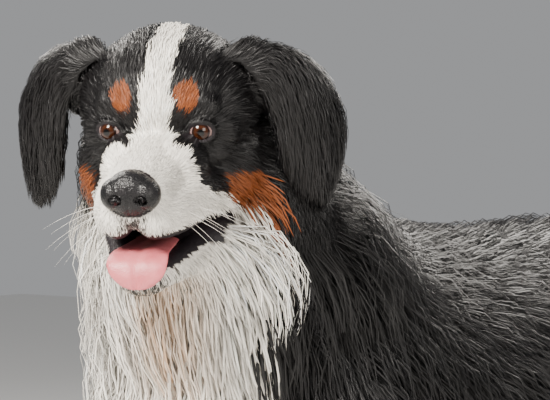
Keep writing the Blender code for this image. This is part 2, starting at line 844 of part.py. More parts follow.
def leg_locks(tree, rng):
    """Feathering behind the forelegs and the breeches behind the thighs."""
    made = []
    for side in SIDES.values():
        for k, (x, y, z, *_) in enumerate(along(FORELEG[:3], FEATHERING_LOCKS)):
            way = Vector((FEATHERING_TURN * (-1) ** k, 1, 0))
            root = struck(tree, Vector((side * x, y, z)), way)
            made.append(sized_lock(tree, rng, root, FEATHERING_LIE, FEATHERING_LOCK,
                                   -k / FEATHERING_LOCKS, droop=FEATHERING_DROOP, free=FEATHERING_FREE))
        for k, (x, y, z, *_) in enumerate(along(THIGH + SHANK[1:3], BREECHES_ROWS)):
            for turn in BREECHES_TURNS:
                way = Vector((side * (turn + BREECHES_STAGGER * (k % 2)), 1, -0.1))
                root = struck(tree, Vector((side * x, y, z)), way)
                made.append(sized_lock(tree, rng, root, BREECHES_LIE, BREECHES_LOCK,
                                       -k / BREECHES_ROWS, droop=BREECHES_DROOP, free=BREECHES_FREE))
    return made


def tail_locks(tree, rng):
    """The plume: locks all round the tail that flow to its tip and stand off a little."""
    made = []
    rows = [Vector(row[:3]) for row in along(TAIL, TAIL_RINGS + 1)]
    for ring in range(1, TAIL_RINGS + 1):
        axis = (rows[ring] - rows[ring - 1]).normalized()
        made += ring_locks(tree, rng, rows[ring] - TAIL_SETBACK * axis, axis, Vector((0, 1, 0)),
                           TAIL_RING_LOCKS, 0.5 * (ring % 2), TAIL_LOCK, free=TAIL_FREE, spread=TAIL_SPREAD)
    return made


def head_locks(tree, rng):
    """Longer hair behind the cheeks."""
    made = []
    lie = HEAD.to_3x3() @ headed(*CHEEK_LIE)
    for side in SIDES.values():
        for k in range(CHEEK_LOCKS):
            left, forward, up = CHEEK_ROOT + k * CHEEK_STEP
            root = HEAD @ headed(side * left, forward, up)
            made.append(sized_lock(tree, rng, root, lie, CHEEK_LOCK, 0))
    return made


def ear():
    """The left ear's flap, cupped towards the cheek."""
    bm = bmesh.new()
    rows = along(EAR, EAR_ROWS)
    places = [headed(left, forward, up) for left, forward, up, _ in rows]
    across = headed(1, -1, 0).normalized()
    rings = []
    for i, (middle, row) in enumerate(zip(places, rows)):
        down = (places[min(i + 1, EAR_ROWS - 1)] - places[max(i - 1, 0)]).normalized()
        out = down.cross(across).normalized()
        ring = []
        for k in range(EAR_POINTS):
            angle = 2 * math.pi * k / EAR_POINTS
            wide = row[3] / 2 * math.cos(angle)
            high = EAR_THICKNESS / 2 * math.sin(angle) + EAR_CUP * math.sin(angle) ** 2
            ring.append(bm.verts.new(HEAD @ (middle + across * wide + out * high)))
        rings.append(ring)
    tube(bm, rings)
    return object_from(bm, "ear_left")


def mirrored_ear(flap):
    """The other ear, its twin across the middle of the head."""
    twin = copied(flap, "ear_right")
    twin.data.transform(HEAD @ Matrix.Diagonal((-1, 1, 1, 1)) @ HEAD.inverted())
    twin.data.flip_normals()
    return twin


def ear_space(flap):
    """The convex space that a coated ear fills, with a gap round it."""
    bm = bmesh.new()
    for vert in flap.data.vertices:
        bm.verts.new(vert.co)
    bmesh.ops.convex_hull(bm, input=bm.verts)
    inside = [vert for vert in bm.verts if not vert.link_faces]
    bmesh.ops.delete(bm, geom=inside, context="VERTS")
    bmesh.ops.recalc_face_normals(bm, faces=bm.faces)
    hull = object_from(bm, "ear_hull")
    space = grown(hull, EAR_CLEARANCE)
    removed(hull)
    return space


def tube(bm, rings, closed=False):
    """Closes rings of vertices into one skin, with flat ends unless the rings run round."""
    pairs = list(zip(rings, rings[1:]))
    if closed:
        pairs.append((rings[-1], rings[0]))
    else:
        bm.faces.new(rings[0])
        bm.faces.new(rings[-1])
    for low, high in pairs:
        for i in range(len(low)):
            j = (i + 1) % len(low)
            bm.faces.new((low[i], low[j], high[j], high[i]))
    bmesh.ops.triangulate(bm, faces=bm.faces)
    bmesh.ops.recalc_face_normals(bm, faces=bm.faces)


def ear_locks(tree, rng):
    """A fringe that flows down the flap and out past its edges."""
    made = []
    across = HEAD.to_3x3() @ headed(1, -1, 0).normalized()
    down = HEAD.to_3x3() @ headed(*EAR_LIE).normalized()
    for left, forward, up, width in along(EAR, EAR_LOCK_ROWS + 2)[1:-1]:
        for place, spread in EAR_LOCK_EDGES:
            root = HEAD @ headed(left, forward, up) + across * place * width / 2
            lie = down + across * spread
            made.append(sized_lock(tree, rng, root, lie, EAR_LOCK, 0, free=EAR_FREE,
                                   depth=EAR_LOCK_ROOT_DEPTH, thickness=EAR_LOCK_THICKNESS))
    return made


def eye_frame(side):
    """The eyeball's frame: its middle, with -Y along its gaze."""
    left, forward, up = EYE
    gaze = headed(side * EYE_AXIS[0], EYE_AXIS[1], EYE_AXIS[2])
    turn = gaze.to_track_quat("-Y", "Z").to_matrix().to_4x4()
    return HEAD @ Matrix.Translation(headed(side * left, forward, up)) @ turn


def eyeball(name, side, grow=0.0):
    bm = bmesh.new()
    bmesh.ops.create_uvsphere(bm, u_segments=12, v_segments=8, radius=EYE_RADIUS + grow,
                              matrix=eye_frame(side))
    bmesh.ops.triangulate(bm, faces=bm.faces)
    return object_from(bm, name)


def on_eye(angle, radius, share=1.0):
    """A point over the eyeball at that distance from its middle, round the lids' opening."""
    wide, high = EYE_OPENING
    x, z = share * wide * math.cos(angle), share * high * math.sin(angle)
    return Vector((x, -math.sqrt(EYE_RADIUS ** 2 - x * x - z * z), z)) * (radius / EYE_RADIUS)


def lids(side):
    """A rim of lid round the eyeball's opening."""
    bm = bmesh.new()
    frame = eye_frame(side)
    over_eye = EYE_RADIUS + GAP + LID_THICKNESS
    middles = [on_eye(2 * math.pi * k / LID_POINTS, over_eye) for k in range(LID_POINTS)]
    rings = []
    for k, middle in enumerate(middles):
        run = (middles[(k + 1) % LID_POINTS] - middles[k - 1]).normalized()
        out = middle.normalized()
        side_way = run.cross(out).normalized()
        ring = []
        for n in range(LID_SIDES):
            angle = 2 * math.pi * n / LID_SIDES
            offset = out * math.cos(angle) + side_way * math.sin(angle)
            ring.append(bm.verts.new(frame @ (middle + offset * LID_THICKNESS)))
        rings.append(ring)
    tube(bm, rings, closed=True)
    return object_from(bm, "lids")


def opening(side):
    """The space in front of the eyeball that the lids leave free."""
    bm = bmesh.new()
    frame = eye_frame(side)
    rings = []
    for reach in OPENING_REACH:
        points = [on_eye(2 * math.pi * k / LID_POINTS, EYE_RADIUS) for k in range(LID_POINTS)]
        flat = [Vector((p.x, -EYE_RADIUS * reach, p.z)) for p in points]
        rings.append([bm.verts.new(frame @ p) for p in flat])
    tube(bm, rings)
    return object_from(bm, "opening")


def nose():
    """The nose leather: a broad pad with a wing over each nostril."""
    bm = bmesh.new()
    head_bead(bm, NOSE, NOSE_RADII, 1, coat=0)
    for side in SIDES.values():
        for place, radii in NOSE_WINGS:
            head_bead(bm, place, radii, side, coat=0)
    return melted(bm, "nose", NOSE_CORE)


def nostril(side):
    left, forward, up = NOSTRIL
    bm = bmesh.new()
    place = HEAD @ Matrix.Translation(headed(side * left, forward, up))
    size = Matrix.Diagonal((*NOSTRIL_RADII, 1))
    bmesh.ops.create_icosphere(bm, subdivisions=2, radius=1, matrix=place @ size)
    return object_from(bm, "nostril")


def tongue(name, grow=0.0):
    """The tongue, laid over the lower lip."""
    bm = bmesh.new()
    rows = along(TONGUE, TONGUE_ROWS)
    places = [headed(left, forward, up) for left, forward, up, _ in rows]
    rings = []
    for i, (middle, row) in enumerate(zip(places, rows)):
        run = (places[min(i + 1, TONGUE_ROWS - 1)] - places[max(i - 1, 0)]).normalized()
        over = run.cross(headed(1, 0, 0)).normalized()
        ring = []
        for k in range(TONGUE_POINTS):
            angle = 2 * math.pi * k / TONGUE_POINTS
            wide = (row[3] / 2 + grow) * math.cos(angle)
            high = (TONGUE_THICKNESS / 2 + grow) * math.sin(angle)
            ring.append(bm.verts.new(HEAD @ (middle + headed(1, 0, 0) * wide + over * high)))
        rings.append(ring)
    tube(bm, rings)
    return object_from(bm, name)


# Outlines of the cells that part the body, in y and z or in the head's frame, and their reach in x.
ABOVE_FLOOR = (((-2, 0), (2, 0), (2, 2), (-2, 2)), -1, 1)
HEAD_CELL = (((-0.150, -0.180), (0.040, -0.128), (0.125, 0.125), (-0.150, 0.150)), -0.20, 0.20)
TAIL_CELL = (((0.455, -0.01), (0.90, -0.01), (0.90, 0.80), (0.36, 0.80), (0.385, 0.62)), -0.15, 0.15)
HINDFOOT_CELL = (((0.15, -0.01), (0.45, -0.01), (0.45, 0.165), (0.15, 0.165)), 0.004, 0.30)
SHANK_CELL = (((0.05, 0.15), (0.45, 0.15), (0.45, 0.315), (0.05, 0.315)), 0.004, 0.30)
THIGH_CELL = (
    ((0.05, 0.30), (0.45, 0.30), (0.42, 0.44), (0.30, 0.50), (0.14, 0.46), (0.05, 0.36)),
    0.004,
    0.30,
)
FOREFOOT_CELL = (((-0.40, -0.01), (-0.12, -0.01), (-0.12, 0.085), (-0.40, 0.085)), 0.030, 0.30)
FORELEG_CELL = (((-0.37, 0.07), (-0.12, 0.07), (-0.15, 0.40), (-0.30, 0.36)), 0.030, 0.30)
LEG_CELLS = {
    "hindfoot": (HINDFOOT_CELL, "coat_white"),
    "shank": (SHANK_CELL, "coat_tan"),
    "thigh": (THIGH_CELL, "coat_black"),
    "forefoot": (FOREFOOT_CELL, "coat_white"),
    "foreleg": (FORELEG_CELL, "coat_tan"),
}
NECK_CELL = (((-0.80, 0.222), (-0.10, 0.753), (-0.10, 1.0), (-0.80, 1.0)), -0.40, 0.40)


def cell_block(cell, side=1, grow=0.0, frame=Matrix.Identity(4)):
    outline, low, high = cell
    if side < 0:
        low, high = -high, -low
    return block(outline, low, high, grow, frame)


def cell_flats(cell, side=1, grow=0.0, frame=Matrix.Identity(4)):
    """The planes of a cell's faces, as a point and a normal each."""
    made = cell_block(cell, side, grow, frame)
    flats = [(face.center.copy(), face.normal.copy()) for face in made.data.polygons]
    removed(made)
    return flats


def parted(body, name, cell, side=1):
    """Splits what lies in the cell off the body as a piece of its own, with a gap between them."""
    piece = copied(body, name)
    carved(piece, "INTERSECT", cell_block(cell, side))
    carved(body, "DIFFERENCE", cell_block(cell, side, GAP))
    return piece


def finished(obj, finish):
    """Splits the object into triangles, shades it smooth and gives it its material."""
    bm = bmesh.new()
    bm.from_mesh(obj.data)
    bmesh.ops.triangulate(bm, faces=bm.faces)
    bm.to_mesh(obj.data)
    bm.free()
    obj.data.materials.clear()
    obj.data.materials.append(material(finish))
    obj.data.shade_smooth()
    obj.data.set_sharp_from_angle(angle=SHARP_EDGE)
    return obj


def ear_nodes():
    """Both ears with their fringes, which are alike."""
    flap = ear()
    joined(flap, ear_locks(surface_of(flap), random.Random(SEED)))
    simplified(flap, FACE_EDGE)
    return [flap, mirrored_ear(flap)]


def body_nodes(ears, rng):
    """Torso, neck, legs and tail, coated and parted, without the head."""
    body = body_core()
    tree = surface_of(body)
    coat = torso_locks(tree, rng) + neck_locks(tree, rng) + bib_locks(tree, rng)
    joined(body, coat + leg_locks(tree, rng) + tail_locks(tree, rng))
    joined(body, claws())
    carved(body, "INTERSECT", cell_block(ABOVE_FLOOR))
    carved(body, "DIFFERENCE", cell_block(HEAD_CELL, 1, GAP, HEAD))
    flats = cell_flats(ABOVE_FLOOR) + cell_flats(HEAD_CELL, 1, GAP, HEAD)
    parts = [("tail", TAIL_CELL, "coat_black", 1)]
    for side_name, side in SIDES.items():
        for name, (cell, finish) in LEG_CELLS.items():
            parts.append((f"{name}_{side_name}", cell, finish, side))
    parts.append(("neck", NECK_CELL, "coat_white", 1))
    made = [(body, "coat_black")]
    for name, cell, finish, side in parts:
        flats += cell_flats(cell, side) + cell_flats(cell, side, GAP)
        made.append((parted(body, name, cell, side), finish))
    body.name = "torso"
    for node, _ in made:
        simplified(node, FOOT_EDGE if "foot" in node.name else COAT_EDGE, flats)
        if node.name in ("neck", "torso"):
            for flap in ears:
                carved(node, "DIFFERENCE", ear_space(flap))
    return [finished(node, finish) for node, finish in made]


def head_nodes(ears, rng):
    """Head, lower jaw, nose, tongue and eyes."""
    head, jaw, leather = head_core(), jaw_core(), nose()
    joined(head, head_locks(surface_of(head), rng))
    simplified(head, FACE_EDGE)
    for piece in (head, jaw):
        carved(piece, "INTERSECT", cell_block(HEAD_CELL, frame=HEAD))
    carved(head, "DIFFERENCE", grown(jaw, GAP))
    carved(head, "DIFFERENCE", grown(leather, GAP))
    carved(head, "DIFFERENCE", tongue("tongue_space", GAP))
    carved(jaw, "DIFFERENCE", tongue("tongue_space", GAP))
    made = [finished(tongue("tongue"), "tongue")]
    for name, side in SIDES.items():
        carved(leather, "DIFFERENCE", nostril(side))
        carved(head, "DIFFERENCE", opening(side))
        carved(head, "DIFFERENCE", eyeball("eye_space", side, GAP))
        joined(head, [lids(side)])
        made.append(finished(eyeball("eye_" + name, side), "eye"))
    for flap in ears:
        carved(head, "DIFFERENCE", ear_space(flap))
    head.name, jaw.name = "head", "jaw"
    made.append(finished(leather, "nose_leather"))
    made.append(finished(jaw, "coat_white"))
    return made + [finished(head, "coat_face")]


def centred(nodes):
    """Moves every node so that the origin is on the floor under the middle of their box."""
    corners = np.array([vert.co for node in nodes for vert in node.data.vertices])
    low, high = corners.min(axis=0), corners.max(axis=0)
    shift = Vector((-(low[0] + high[0]) / 2, -(low[1] + high[1]) / 2, -low[2]))
    for node in nodes:
        node.data.transform(Matrix.Translation(shift))


def build():
    clear_scene()
    ears = ear_nodes()
    nodes = body_nodes(ears, random.Random(SEED)) + head_nodes(ears, random.Random(SEED))
    centred(nodes + [finished(flap, "coat_black") for flap in ears])


build()
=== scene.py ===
import json
import math

import bmesh
import bpy
import numpy as np
from mathutils import Matrix, Vector, noise
from mathutils.bvhtree import BVHTree
from mathutils.kdtree import KDTree

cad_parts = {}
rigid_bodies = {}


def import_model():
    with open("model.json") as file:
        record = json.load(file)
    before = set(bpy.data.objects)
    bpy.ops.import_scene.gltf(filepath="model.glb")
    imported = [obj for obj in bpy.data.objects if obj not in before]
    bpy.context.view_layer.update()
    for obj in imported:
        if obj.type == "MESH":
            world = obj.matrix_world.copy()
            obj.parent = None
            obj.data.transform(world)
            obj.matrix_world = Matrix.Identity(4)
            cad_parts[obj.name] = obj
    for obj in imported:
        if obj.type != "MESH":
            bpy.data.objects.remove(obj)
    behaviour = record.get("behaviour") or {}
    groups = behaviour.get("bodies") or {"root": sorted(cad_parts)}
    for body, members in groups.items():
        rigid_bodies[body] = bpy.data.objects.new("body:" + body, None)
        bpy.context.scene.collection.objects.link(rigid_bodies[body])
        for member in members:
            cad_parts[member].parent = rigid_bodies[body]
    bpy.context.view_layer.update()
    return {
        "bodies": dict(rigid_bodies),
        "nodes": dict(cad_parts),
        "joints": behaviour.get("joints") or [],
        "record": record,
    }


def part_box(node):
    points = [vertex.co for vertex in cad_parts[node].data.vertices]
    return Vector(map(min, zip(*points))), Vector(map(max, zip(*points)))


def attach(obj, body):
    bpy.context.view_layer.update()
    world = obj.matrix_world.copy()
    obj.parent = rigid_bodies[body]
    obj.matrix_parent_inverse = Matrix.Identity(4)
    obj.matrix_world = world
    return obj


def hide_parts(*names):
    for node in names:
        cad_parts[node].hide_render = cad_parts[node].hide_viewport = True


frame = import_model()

# Every random draw starts from this seed.
SEED = 11
SIDES = {"left": 1, "right": -1}

# The stations below repeat the part's named sizes, in the frame in which they are given there.
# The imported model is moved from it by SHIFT, which the eyes tell.
TORSO = (
    (-0.340, 0.488, 0.085, 0.092),
    (-0.290, 0.486, 0.118, 0.135),
    (-0.220, 0.490, 0.138, 0.170),
    (-0.100, 0.490, 0.140, 0.166),
    (0.020, 0.498, 0.136, 0.154),
    (0.140, 0.514, 0.124, 0.136),
    (0.240, 0.528, 0.114, 0.124),
    (0.310, 0.536, 0.094, 0.102),
    (0.345, 0.544, 0.060, 0.070),
)
TORSO_BEAD_DEPTH = 0.045
NECK = (
    (0.000, -0.180, 0.565, 0.115, 0.110, 0.096),
    (0.000, -0.268, 0.622, 0.120, 0.100, 0.092),
    (0.000, -0.326, 0.688, 0.114, 0.088, 0.086),
    (0.004, -0.362, 0.752, 0.088, 0.072, 0.072),
)
RUFF = (
    (0.036, -0.425, 0.672, 0.066, 0.040, 0.034),
    (0.022, -0.395, 0.640, 0.086, 0.050, 0.050),
    (0.008, -0.350, 0.580, 0.092, 0.050, 0.060),
)
SHOULDER = (
    (0.070, -0.190, 0.590, 0.045, 0.060, 0.060),
    (0.092, -0.262, 0.470, 0.052, 0.062, 0.070),
    (0.102, -0.222, 0.370, 0.046, 0.055, 0.055),
)
FORELEG = (
    (0.104, -0.215, 0.360, 0.046, 0.054, 0.050),
    (0.102, -0.222, 0.260, 0.039, 0.045, 0.050),
    (0.100, -0.232, 0.140, 0.034, 0.036, 0.040),
    (0.100, -0.244, 0.070, 0.034, 0.036, 0.035),
)
THIGH = (
    (0.070, 0.225, 0.500, 0.062, 0.092, 0.090),
    (0.094, 0.195, 0.410, 0.058, 0.088, 0.080),
    (0.102, 0.190, 0.335, 0.048, 0.064, 0.055),
)
SHANK = (
    (0.102, 0.200, 0.330, 0.045, 0.054, 0.050),
    (0.100, 0.268, 0.250, 0.034, 0.042, 0.042),
    (0.098, 0.325, 0.180, 0.026, 0.033, 0.034),
    (0.098, 0.326, 0.110, 0.025, 0.028, 0.034),
    (0.098, 0.316, 0.055, 0.027, 0.031, 0.032),
)
FORE_PAW = (0.100, -0.268, 0.030)
HIND_PAW = (0.098, 0.290, 0.029)
PAW_RADII = (0.042, 0.050, 0.034)
TOE_RADII = (0.0175, 0.026, 0.022)
TOE_SPACING = 0.0205
TOE_REACH = 0.047
TOE_HEIGHT = 0.020
TOE_ROW = (-1.5, -0.5, 0.5, 1.5)
TOE_SETBACK = 0.007
TAIL = (
    (0.000, 0.350, 0.590, 0.036),
    (0.000, 0.432, 0.548, 0.027),
    (0.004, 0.486, 0.450, 0.023),
    (0.010, 0.508, 0.340, 0.021),
    (0.018, 0.520, 0.245, 0.017),
    (0.024, 0.545, 0.175, 0.011),
)
EYE_MIDDLE = Vector((0.045, -0.470, 0.770))
HEAD_TURN = math.radians(26)
HEAD_DIP = math.radians(11)
HEAD = (
    Matrix.Translation(EYE_MIDDLE)
    @ Matrix.Rotation(HEAD_TURN, 4, "Z")
    @ Matrix.Rotation(HEAD_DIP, 4, "X")
)
EYE = (0.0395, -0.0055, 0.000)
EYE_RADIUS = 0.0125
EYE_AXIS = (0.24, 1.0, 0.02)
CORNEA_RADIUS = 0.0078
CORNEA_RISE = 0.0010
EYE_OPENING = (0.0098, 0.0062)
EYE_CLEARANCE = 0.0025
LID_REACH = 2.2
LID_EDGE = 0.0010
LID_FOLD = 0.0022
LID_FOLD_ANGLE = 0.45
LID_ANGLE = 0.85
HEAD_MIDDLE = (
    ((0, -0.060, 0.018), (0.072, 0.072, 0.062)),
    ((0, -0.100, 0.016), (0.060, 0.040, 0.050)),
    ((0, -0.026, 0.026), (0.052, 0.032, 0.036)),
    ((0, -0.080, -0.050), (0.056, 0.045, 0.050)),
    ((0, 0.030, -0.052), (0.036, 0.052, 0.020)),
    ((0, 0.066, -0.115), (0.022, 0.022, 0.015)),
    ((0, 0.010, -0.110), (0.032, 0.056, 0.010)),
)
HEAD_PAIRS = (
    ((0.082, -0.074, 0.030), (0.024, 0.026, 0.026)),
    ((0.0395, -0.0055, 0.000), (0.0142, 0.0142, 0.0142)),
    ((0.049, -0.022, -0.002), (0.020, 0.018, 0.019)),
    ((0.031, -0.013, 0.019), (0.025, 0.019, 0.018)),
    ((0.048, -0.056, 0.012), (0.030, 0.044, 0.044)),
    ((0.045, -0.058, -0.040), (0.036, 0.046, 0.046)),
    ((0.046, -0.032, -0.018), (0.020, 0.030, 0.020)),
    ((0.040, -0.036, -0.060), (0.024, 0.036, 0.028)),
    ((0.022, 0.008, -0.032), (0.026, 0.034, 0.032)),
)
MUZZLE = (
    (0, 0.005, -0.032, 0.035, 0.022, 0.030),
    (0, 0.050, -0.038, 0.033, 0.022, 0.028),
    (0, 0.084, -0.042, 0.030, 0.018, 0.026),
)
BRIDGE = (
    (0, 0.000, -0.012, 0.020, 0.018, 0.013),
    (0, 0.050, -0.020, 0.019, 0.018, 0.012),
    (0, 0.084, -0.025, 0.020, 0.014, 0.011),
)
FLEW = (
    (0.017, 0.084, -0.058, 0.017, 0.014, 0.019),
    (0.025, 0.060, -0.058, 0.017, 0.020, 0.022),
    (0.032, 0.025, -0.057, 0.017, 0.022, 0.024),
    (0.042, -0.012, -0.056, 0.015, 0.022, 0.024),
)
JAW_SIDE = (
    (0.014, 0.062, -0.112, 0.012, 0.016, 0.013),
    (0.029, 0.026, -0.106, 0.013, 0.020, 0.014),
    (0.040, -0.016, -0.098, 0.014, 0.022, 0.015),
    (0.046, -0.046, -0.086, 0.014, 0.022, 0.016),
)
EAR = (
    (0.064, -0.062, 0.058, 0.052),
    (0.096, -0.068, 0.046, 0.066),
    (0.117, -0.074, 0.011, 0.074),
    (0.123, -0.077, -0.026, 0.068),
    (0.124, -0.078, -0.056, 0.046),
    (0.124, -0.078, -0.078, 0.014),
)
EAR_THICKNESS = 0.009
EAR_CUP = 0.010
TONGUE = (
    (0.000, -0.012, -0.0960, 0.036),
    (0.000, 0.036, -0.0935, 0.044),
    (0.001, 0.074, -0.0905, 0.050),
    (0.002, 0.094, -0.0945, 0.054),
    (0.003, 0.101, -0.1040, 0.048),
    (0.003, 0.102, -0.1130, 0.030),
    (0.003, 0.102, -0.1160, 0.016),
)
TONGUE_THICKNESS = 0.007
TONGUE_GROOVE = 0.0016
GROOVE_WIDTH = 0.14
TONGUE_ROWS = 48
TONGUE_POINTS = 48
NOSE = (0.000, 0.094, -0.034)
NOSE_RADII = (0.0225, 0.0165, 0.0205)
NOSE_WING = ((0.0150, 0.096, -0.034), (0.0115, 0.0150, 0.0140))
NOSTRIL = (0.0115, 0.112, -0.037)
NOSTRIL_RADII = (0.0062, 0.0090, 0.0048)

# Beads along each kind of run, and the first of the neck's beads that the head's skin shares.
BEAD_SUBDIVISIONS = 3
TORSO_BEADS = 60
NECK_BEADS = 14
NECK_TOP = 8
RUFF_BEADS = 8
LIMB_BEADS = 16
TAIL_BEADS = 40
MUZZLE_BEADS = 10
FLEW_BEADS = 12
EAR_ROWS = 14
EAR_POINTS = 20
# Voxels and rounds of smoothing of the two skins that are fused, body and head.
BODY_VOXEL = 0.0055
BODY_SMOOTHING = 6
HEAD_VOXEL = 0.0020
HEAD_SMOOTHING = 5
# The ruff's dense undercoat is this much thinner than the solids' form.
RUFF_INSET = 0.004


def headed(left, forward, up):
    """A point or way of the head's frame as a vector in that frame, which faces -Y."""
    return Vector((left, -forward, up))


def eye_middle():
    """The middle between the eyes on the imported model."""
    corners = [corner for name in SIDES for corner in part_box("eye_" + name)]
    middle = sum(corners, Vector()) / len(corners)
    return middle - HEAD.to_3x3() @ headed(0, EYE[1], 0)


SHIFT = Matrix.Translation(eye_middle() - EYE_MIDDLE)
# Height of the floor in the part's own frame, and how far skin and hair keep above it.
FLOOR = -SHIFT.translation.z
SKIN_GAP = 0.0002
HAIR_GAP = 0.0012


def along(stations, count):
    """Rows read from a smooth curve through the stations, which are tuples of numbers."""
    last = len(stations) - 1
    rows = []
    for i in range(count):
        t = i / (count - 1) * last
        k = min(int(t), last - 1)
        f = t - k
        near = [stations[min(max(k + step, 0), last)] for step in (-1, 0, 1, 2)]
        rows.append(
            tuple(
                b + f / 2 * (c - a + f * (2 * a - 5 * b + 4 * c - d + f * (3 * (b - c) + d - a)))
                for a, b, c, d in zip(*near)
            )
        )
    return rows


def linked(name, data):
    """A new object of the scene with this mesh, camera or lamp."""
    made = bpy.data.objects.new(name, data)
    bpy.context.scene.collection.objects.link(made)
    return made


def object_from(bm, name):
    """A mesh object made from a bmesh, which is then freed."""
    mesh = bpy.data.meshes.new(name)
    bm.to_mesh(mesh)
    bm.free()
    return linked(name, mesh)


def applied(obj):
    """Gives the object the mesh that its modifiers make, and clears them."""
    graph = bpy.context.evaluated_depsgraph_get()
    mesh = bpy.data.meshes.new_from_object(obj.evaluated_get(graph))
    obj.modifiers.clear()
    obj.data = mesh
    return obj


def bead(bm, centre, radii, frame=Matrix.Identity(4)):
    place = frame @ Matrix.Translation(centre) @ Matrix.Diagonal((*radii, 1))
    bmesh.ops.create_icosphere(bm, subdivisions=BEAD_SUBDIVISIONS, radius=1, matrix=place)


def head_bead(bm, place, radii, side=1):
    left, forward, up = place
    bead(bm, headed(side * left, forward, up), radii, HEAD)


def head_beads(bm, stations, count, side=1):
    for left, forward, up, *radii in along(stations, count):
        head_bead(bm, (left, forward, up), radii, side)


def beads(bm, stations, count, side=1, inset=0.0):
    for x, y, z, *radii in along(stations, count):
        bead(bm, (side * x, y, z), [r - inset for r in radii])


def toes(middle, side):
    """Middles of a paw's four toes, the two middle ones further forward."""
    x, y, _ = middle
    rows = [(k, TOE_REACH - abs(k) * TOE_SETBACK) for k in TOE_ROW]
    return [Vector((side * x + k * TOE_SPACING, y - reach, TOE_HEIGHT)) for k, reach in rows]


def melted(bm, name, voxel, smoothing):
    made = object_from(bm, name)
    remesh = made.modifiers.new("melt", "REMESH")
    remesh.mode = "VOXEL"
    remesh.voxel_size = voxel
    smooth = made.modifiers.new("smooth", "SMOOTH")
    smooth.iterations = smoothing
    smooth.factor = 0.5
    return applied(made)


def around(count):
    """Angles of the points of a ring."""
    return [2 * math.pi * k / count for k in range(count)]


def runs(places):
    """Which way a row of places runs at each of them."""
    last = len(places) - 1
    return [(places[min(i + 1, last)] - places[max(i - 1, 0)]).normalized() for i in range(last + 1)]


def tube(bm, rings):
    """Closes rings of places into one skin with flat ends."""
    rings = [[bm.verts.new(place) for place in ring] for ring in rings]
    bm.faces.new(rings[0])
    bm.faces.new(rings[-1])
    for low, high in zip(rings, rings[1:]):
        for i in range(len(low)):
            j = (i + 1) % len(low)
            bm.faces.new((low[i], low[j], high[j], high[i]))
    bmesh.ops.recalc_face_normals(bm, faces=bm.faces)


def ear_flap(bm, side):
    """An ear's flap of skin, cupped towards the cheek."""
    rows = along(EAR, EAR_ROWS)
    places = [headed(side * left, forward, up) for left, forward, up, _ in rows]
    across = headed(side, -1, 0).normalized()
    rings = []
    for middle, row, run in zip(places, rows, runs(places)):
        out = run.cross(across).normalized() * side
        ring = []
        for angle in around(EAR_POINTS):
            wide = row[3] / 2 * math.cos(angle)
            high = EAR_THICKNESS / 2 * math.sin(angle) + EAR_CUP * math.sin(angle) ** 2
            ring.append(HEAD @ (middle + across * wide + out * high))
        rings.append(ring)
    tube(bm, rings)


def body_skin():
    bm = bmesh.new()
    for y, z, half_width, half_depth in along(TORSO, TORSO_BEADS):
        bead(bm, (0, y, z), (half_width, TORSO_BEAD_DEPTH, half_depth))
    beads(bm, NECK, NECK_BEADS)
    beads(bm, RUFF, RUFF_BEADS, inset=RUFF_INSET)
    for side in SIDES.values():
        for stations in (SHOULDER, FORELEG, THIGH, SHANK):
            beads(bm, stations, LIMB_BEADS, side)
        for middle in (FORE_PAW, HIND_PAW):
            bead(bm, (side * middle[0], *middle[1:]), PAW_RADII)
            for place in toes(middle, side):
                bead(bm, place, TOE_RADII)
    for x, y, z, radius in along(TAIL, TAIL_BEADS):
        bead(bm, (x, y, z), (radius,) * 3)
    return melted(bm, "body_skin", BODY_VOXEL, BODY_SMOOTHING)


def head_skin():
    bm = bmesh.new()
    for place, radii in HEAD_MIDDLE:
        head_bead(bm, place, radii)
    for stations in (MUZZLE, BRIDGE):
        head_beads(bm, stations, MUZZLE_BEADS)
    for side in SIDES.values():
        for place, radii in HEAD_PAIRS:
            head_bead(bm, place, radii, side)
        for stations in (FLEW, JAW_SIDE):
            head_beads(bm, stations, FLEW_BEADS, side)
        ear_flap(bm, side)
    for x, y, z, *radii in along(NECK, NECK_BEADS)[NECK_TOP:]:
        bead(bm, (x, y, z), radii)
    return melted(bm, "head_skin", HEAD_VOXEL, HEAD_SMOOTHING)


def eye_frame(side):
    """The eyeball's frame: its middle, with -Y along its gaze."""
    left, forward, up = EYE
    gaze = headed(side * EYE_AXIS[0], EYE_AXIS[1], EYE_AXIS[2])
    turn = gaze.to_track_quat("-Y", "Z").to_matrix().to_4x4()
    return HEAD @ Matrix.Translation(headed(side * left, forward, up)) @ turn


def eye_angles(places, side):
    """Each place's distance from the eyeball's middle and its angle past the lids' opening."""
    inward = np.array(eye_frame(side).inverted())
    local = places @ inward[:3, :3].T + inward[:3, 3]
    radius = np.maximum(np.linalg.norm(local, axis=1), 1e-6)
    angle = np.arccos(np.clip(-local[:, 1] / radius, -1, 1))
    size = np.maximum(np.hypot(local[:, 0], local[:, 2]), 1e-9)
    wide, high = (math.asin(half / EYE_RADIUS) for half in EYE_OPENING)
    edge = 1 / np.hypot(local[:, 0] / size / wide, local[:, 2] / size / high)
    return local, radius, angle - edge


def triples(items, key, kind=float):
    """Rows of the three numbers that each of a mesh's items keeps under this key."""
    flat = np.empty(len(items) * 3, np.int32 if kind is int else np.float32)
    items.foreach_get(key, flat)
    return flat.reshape(-1, 3).astype(kind)


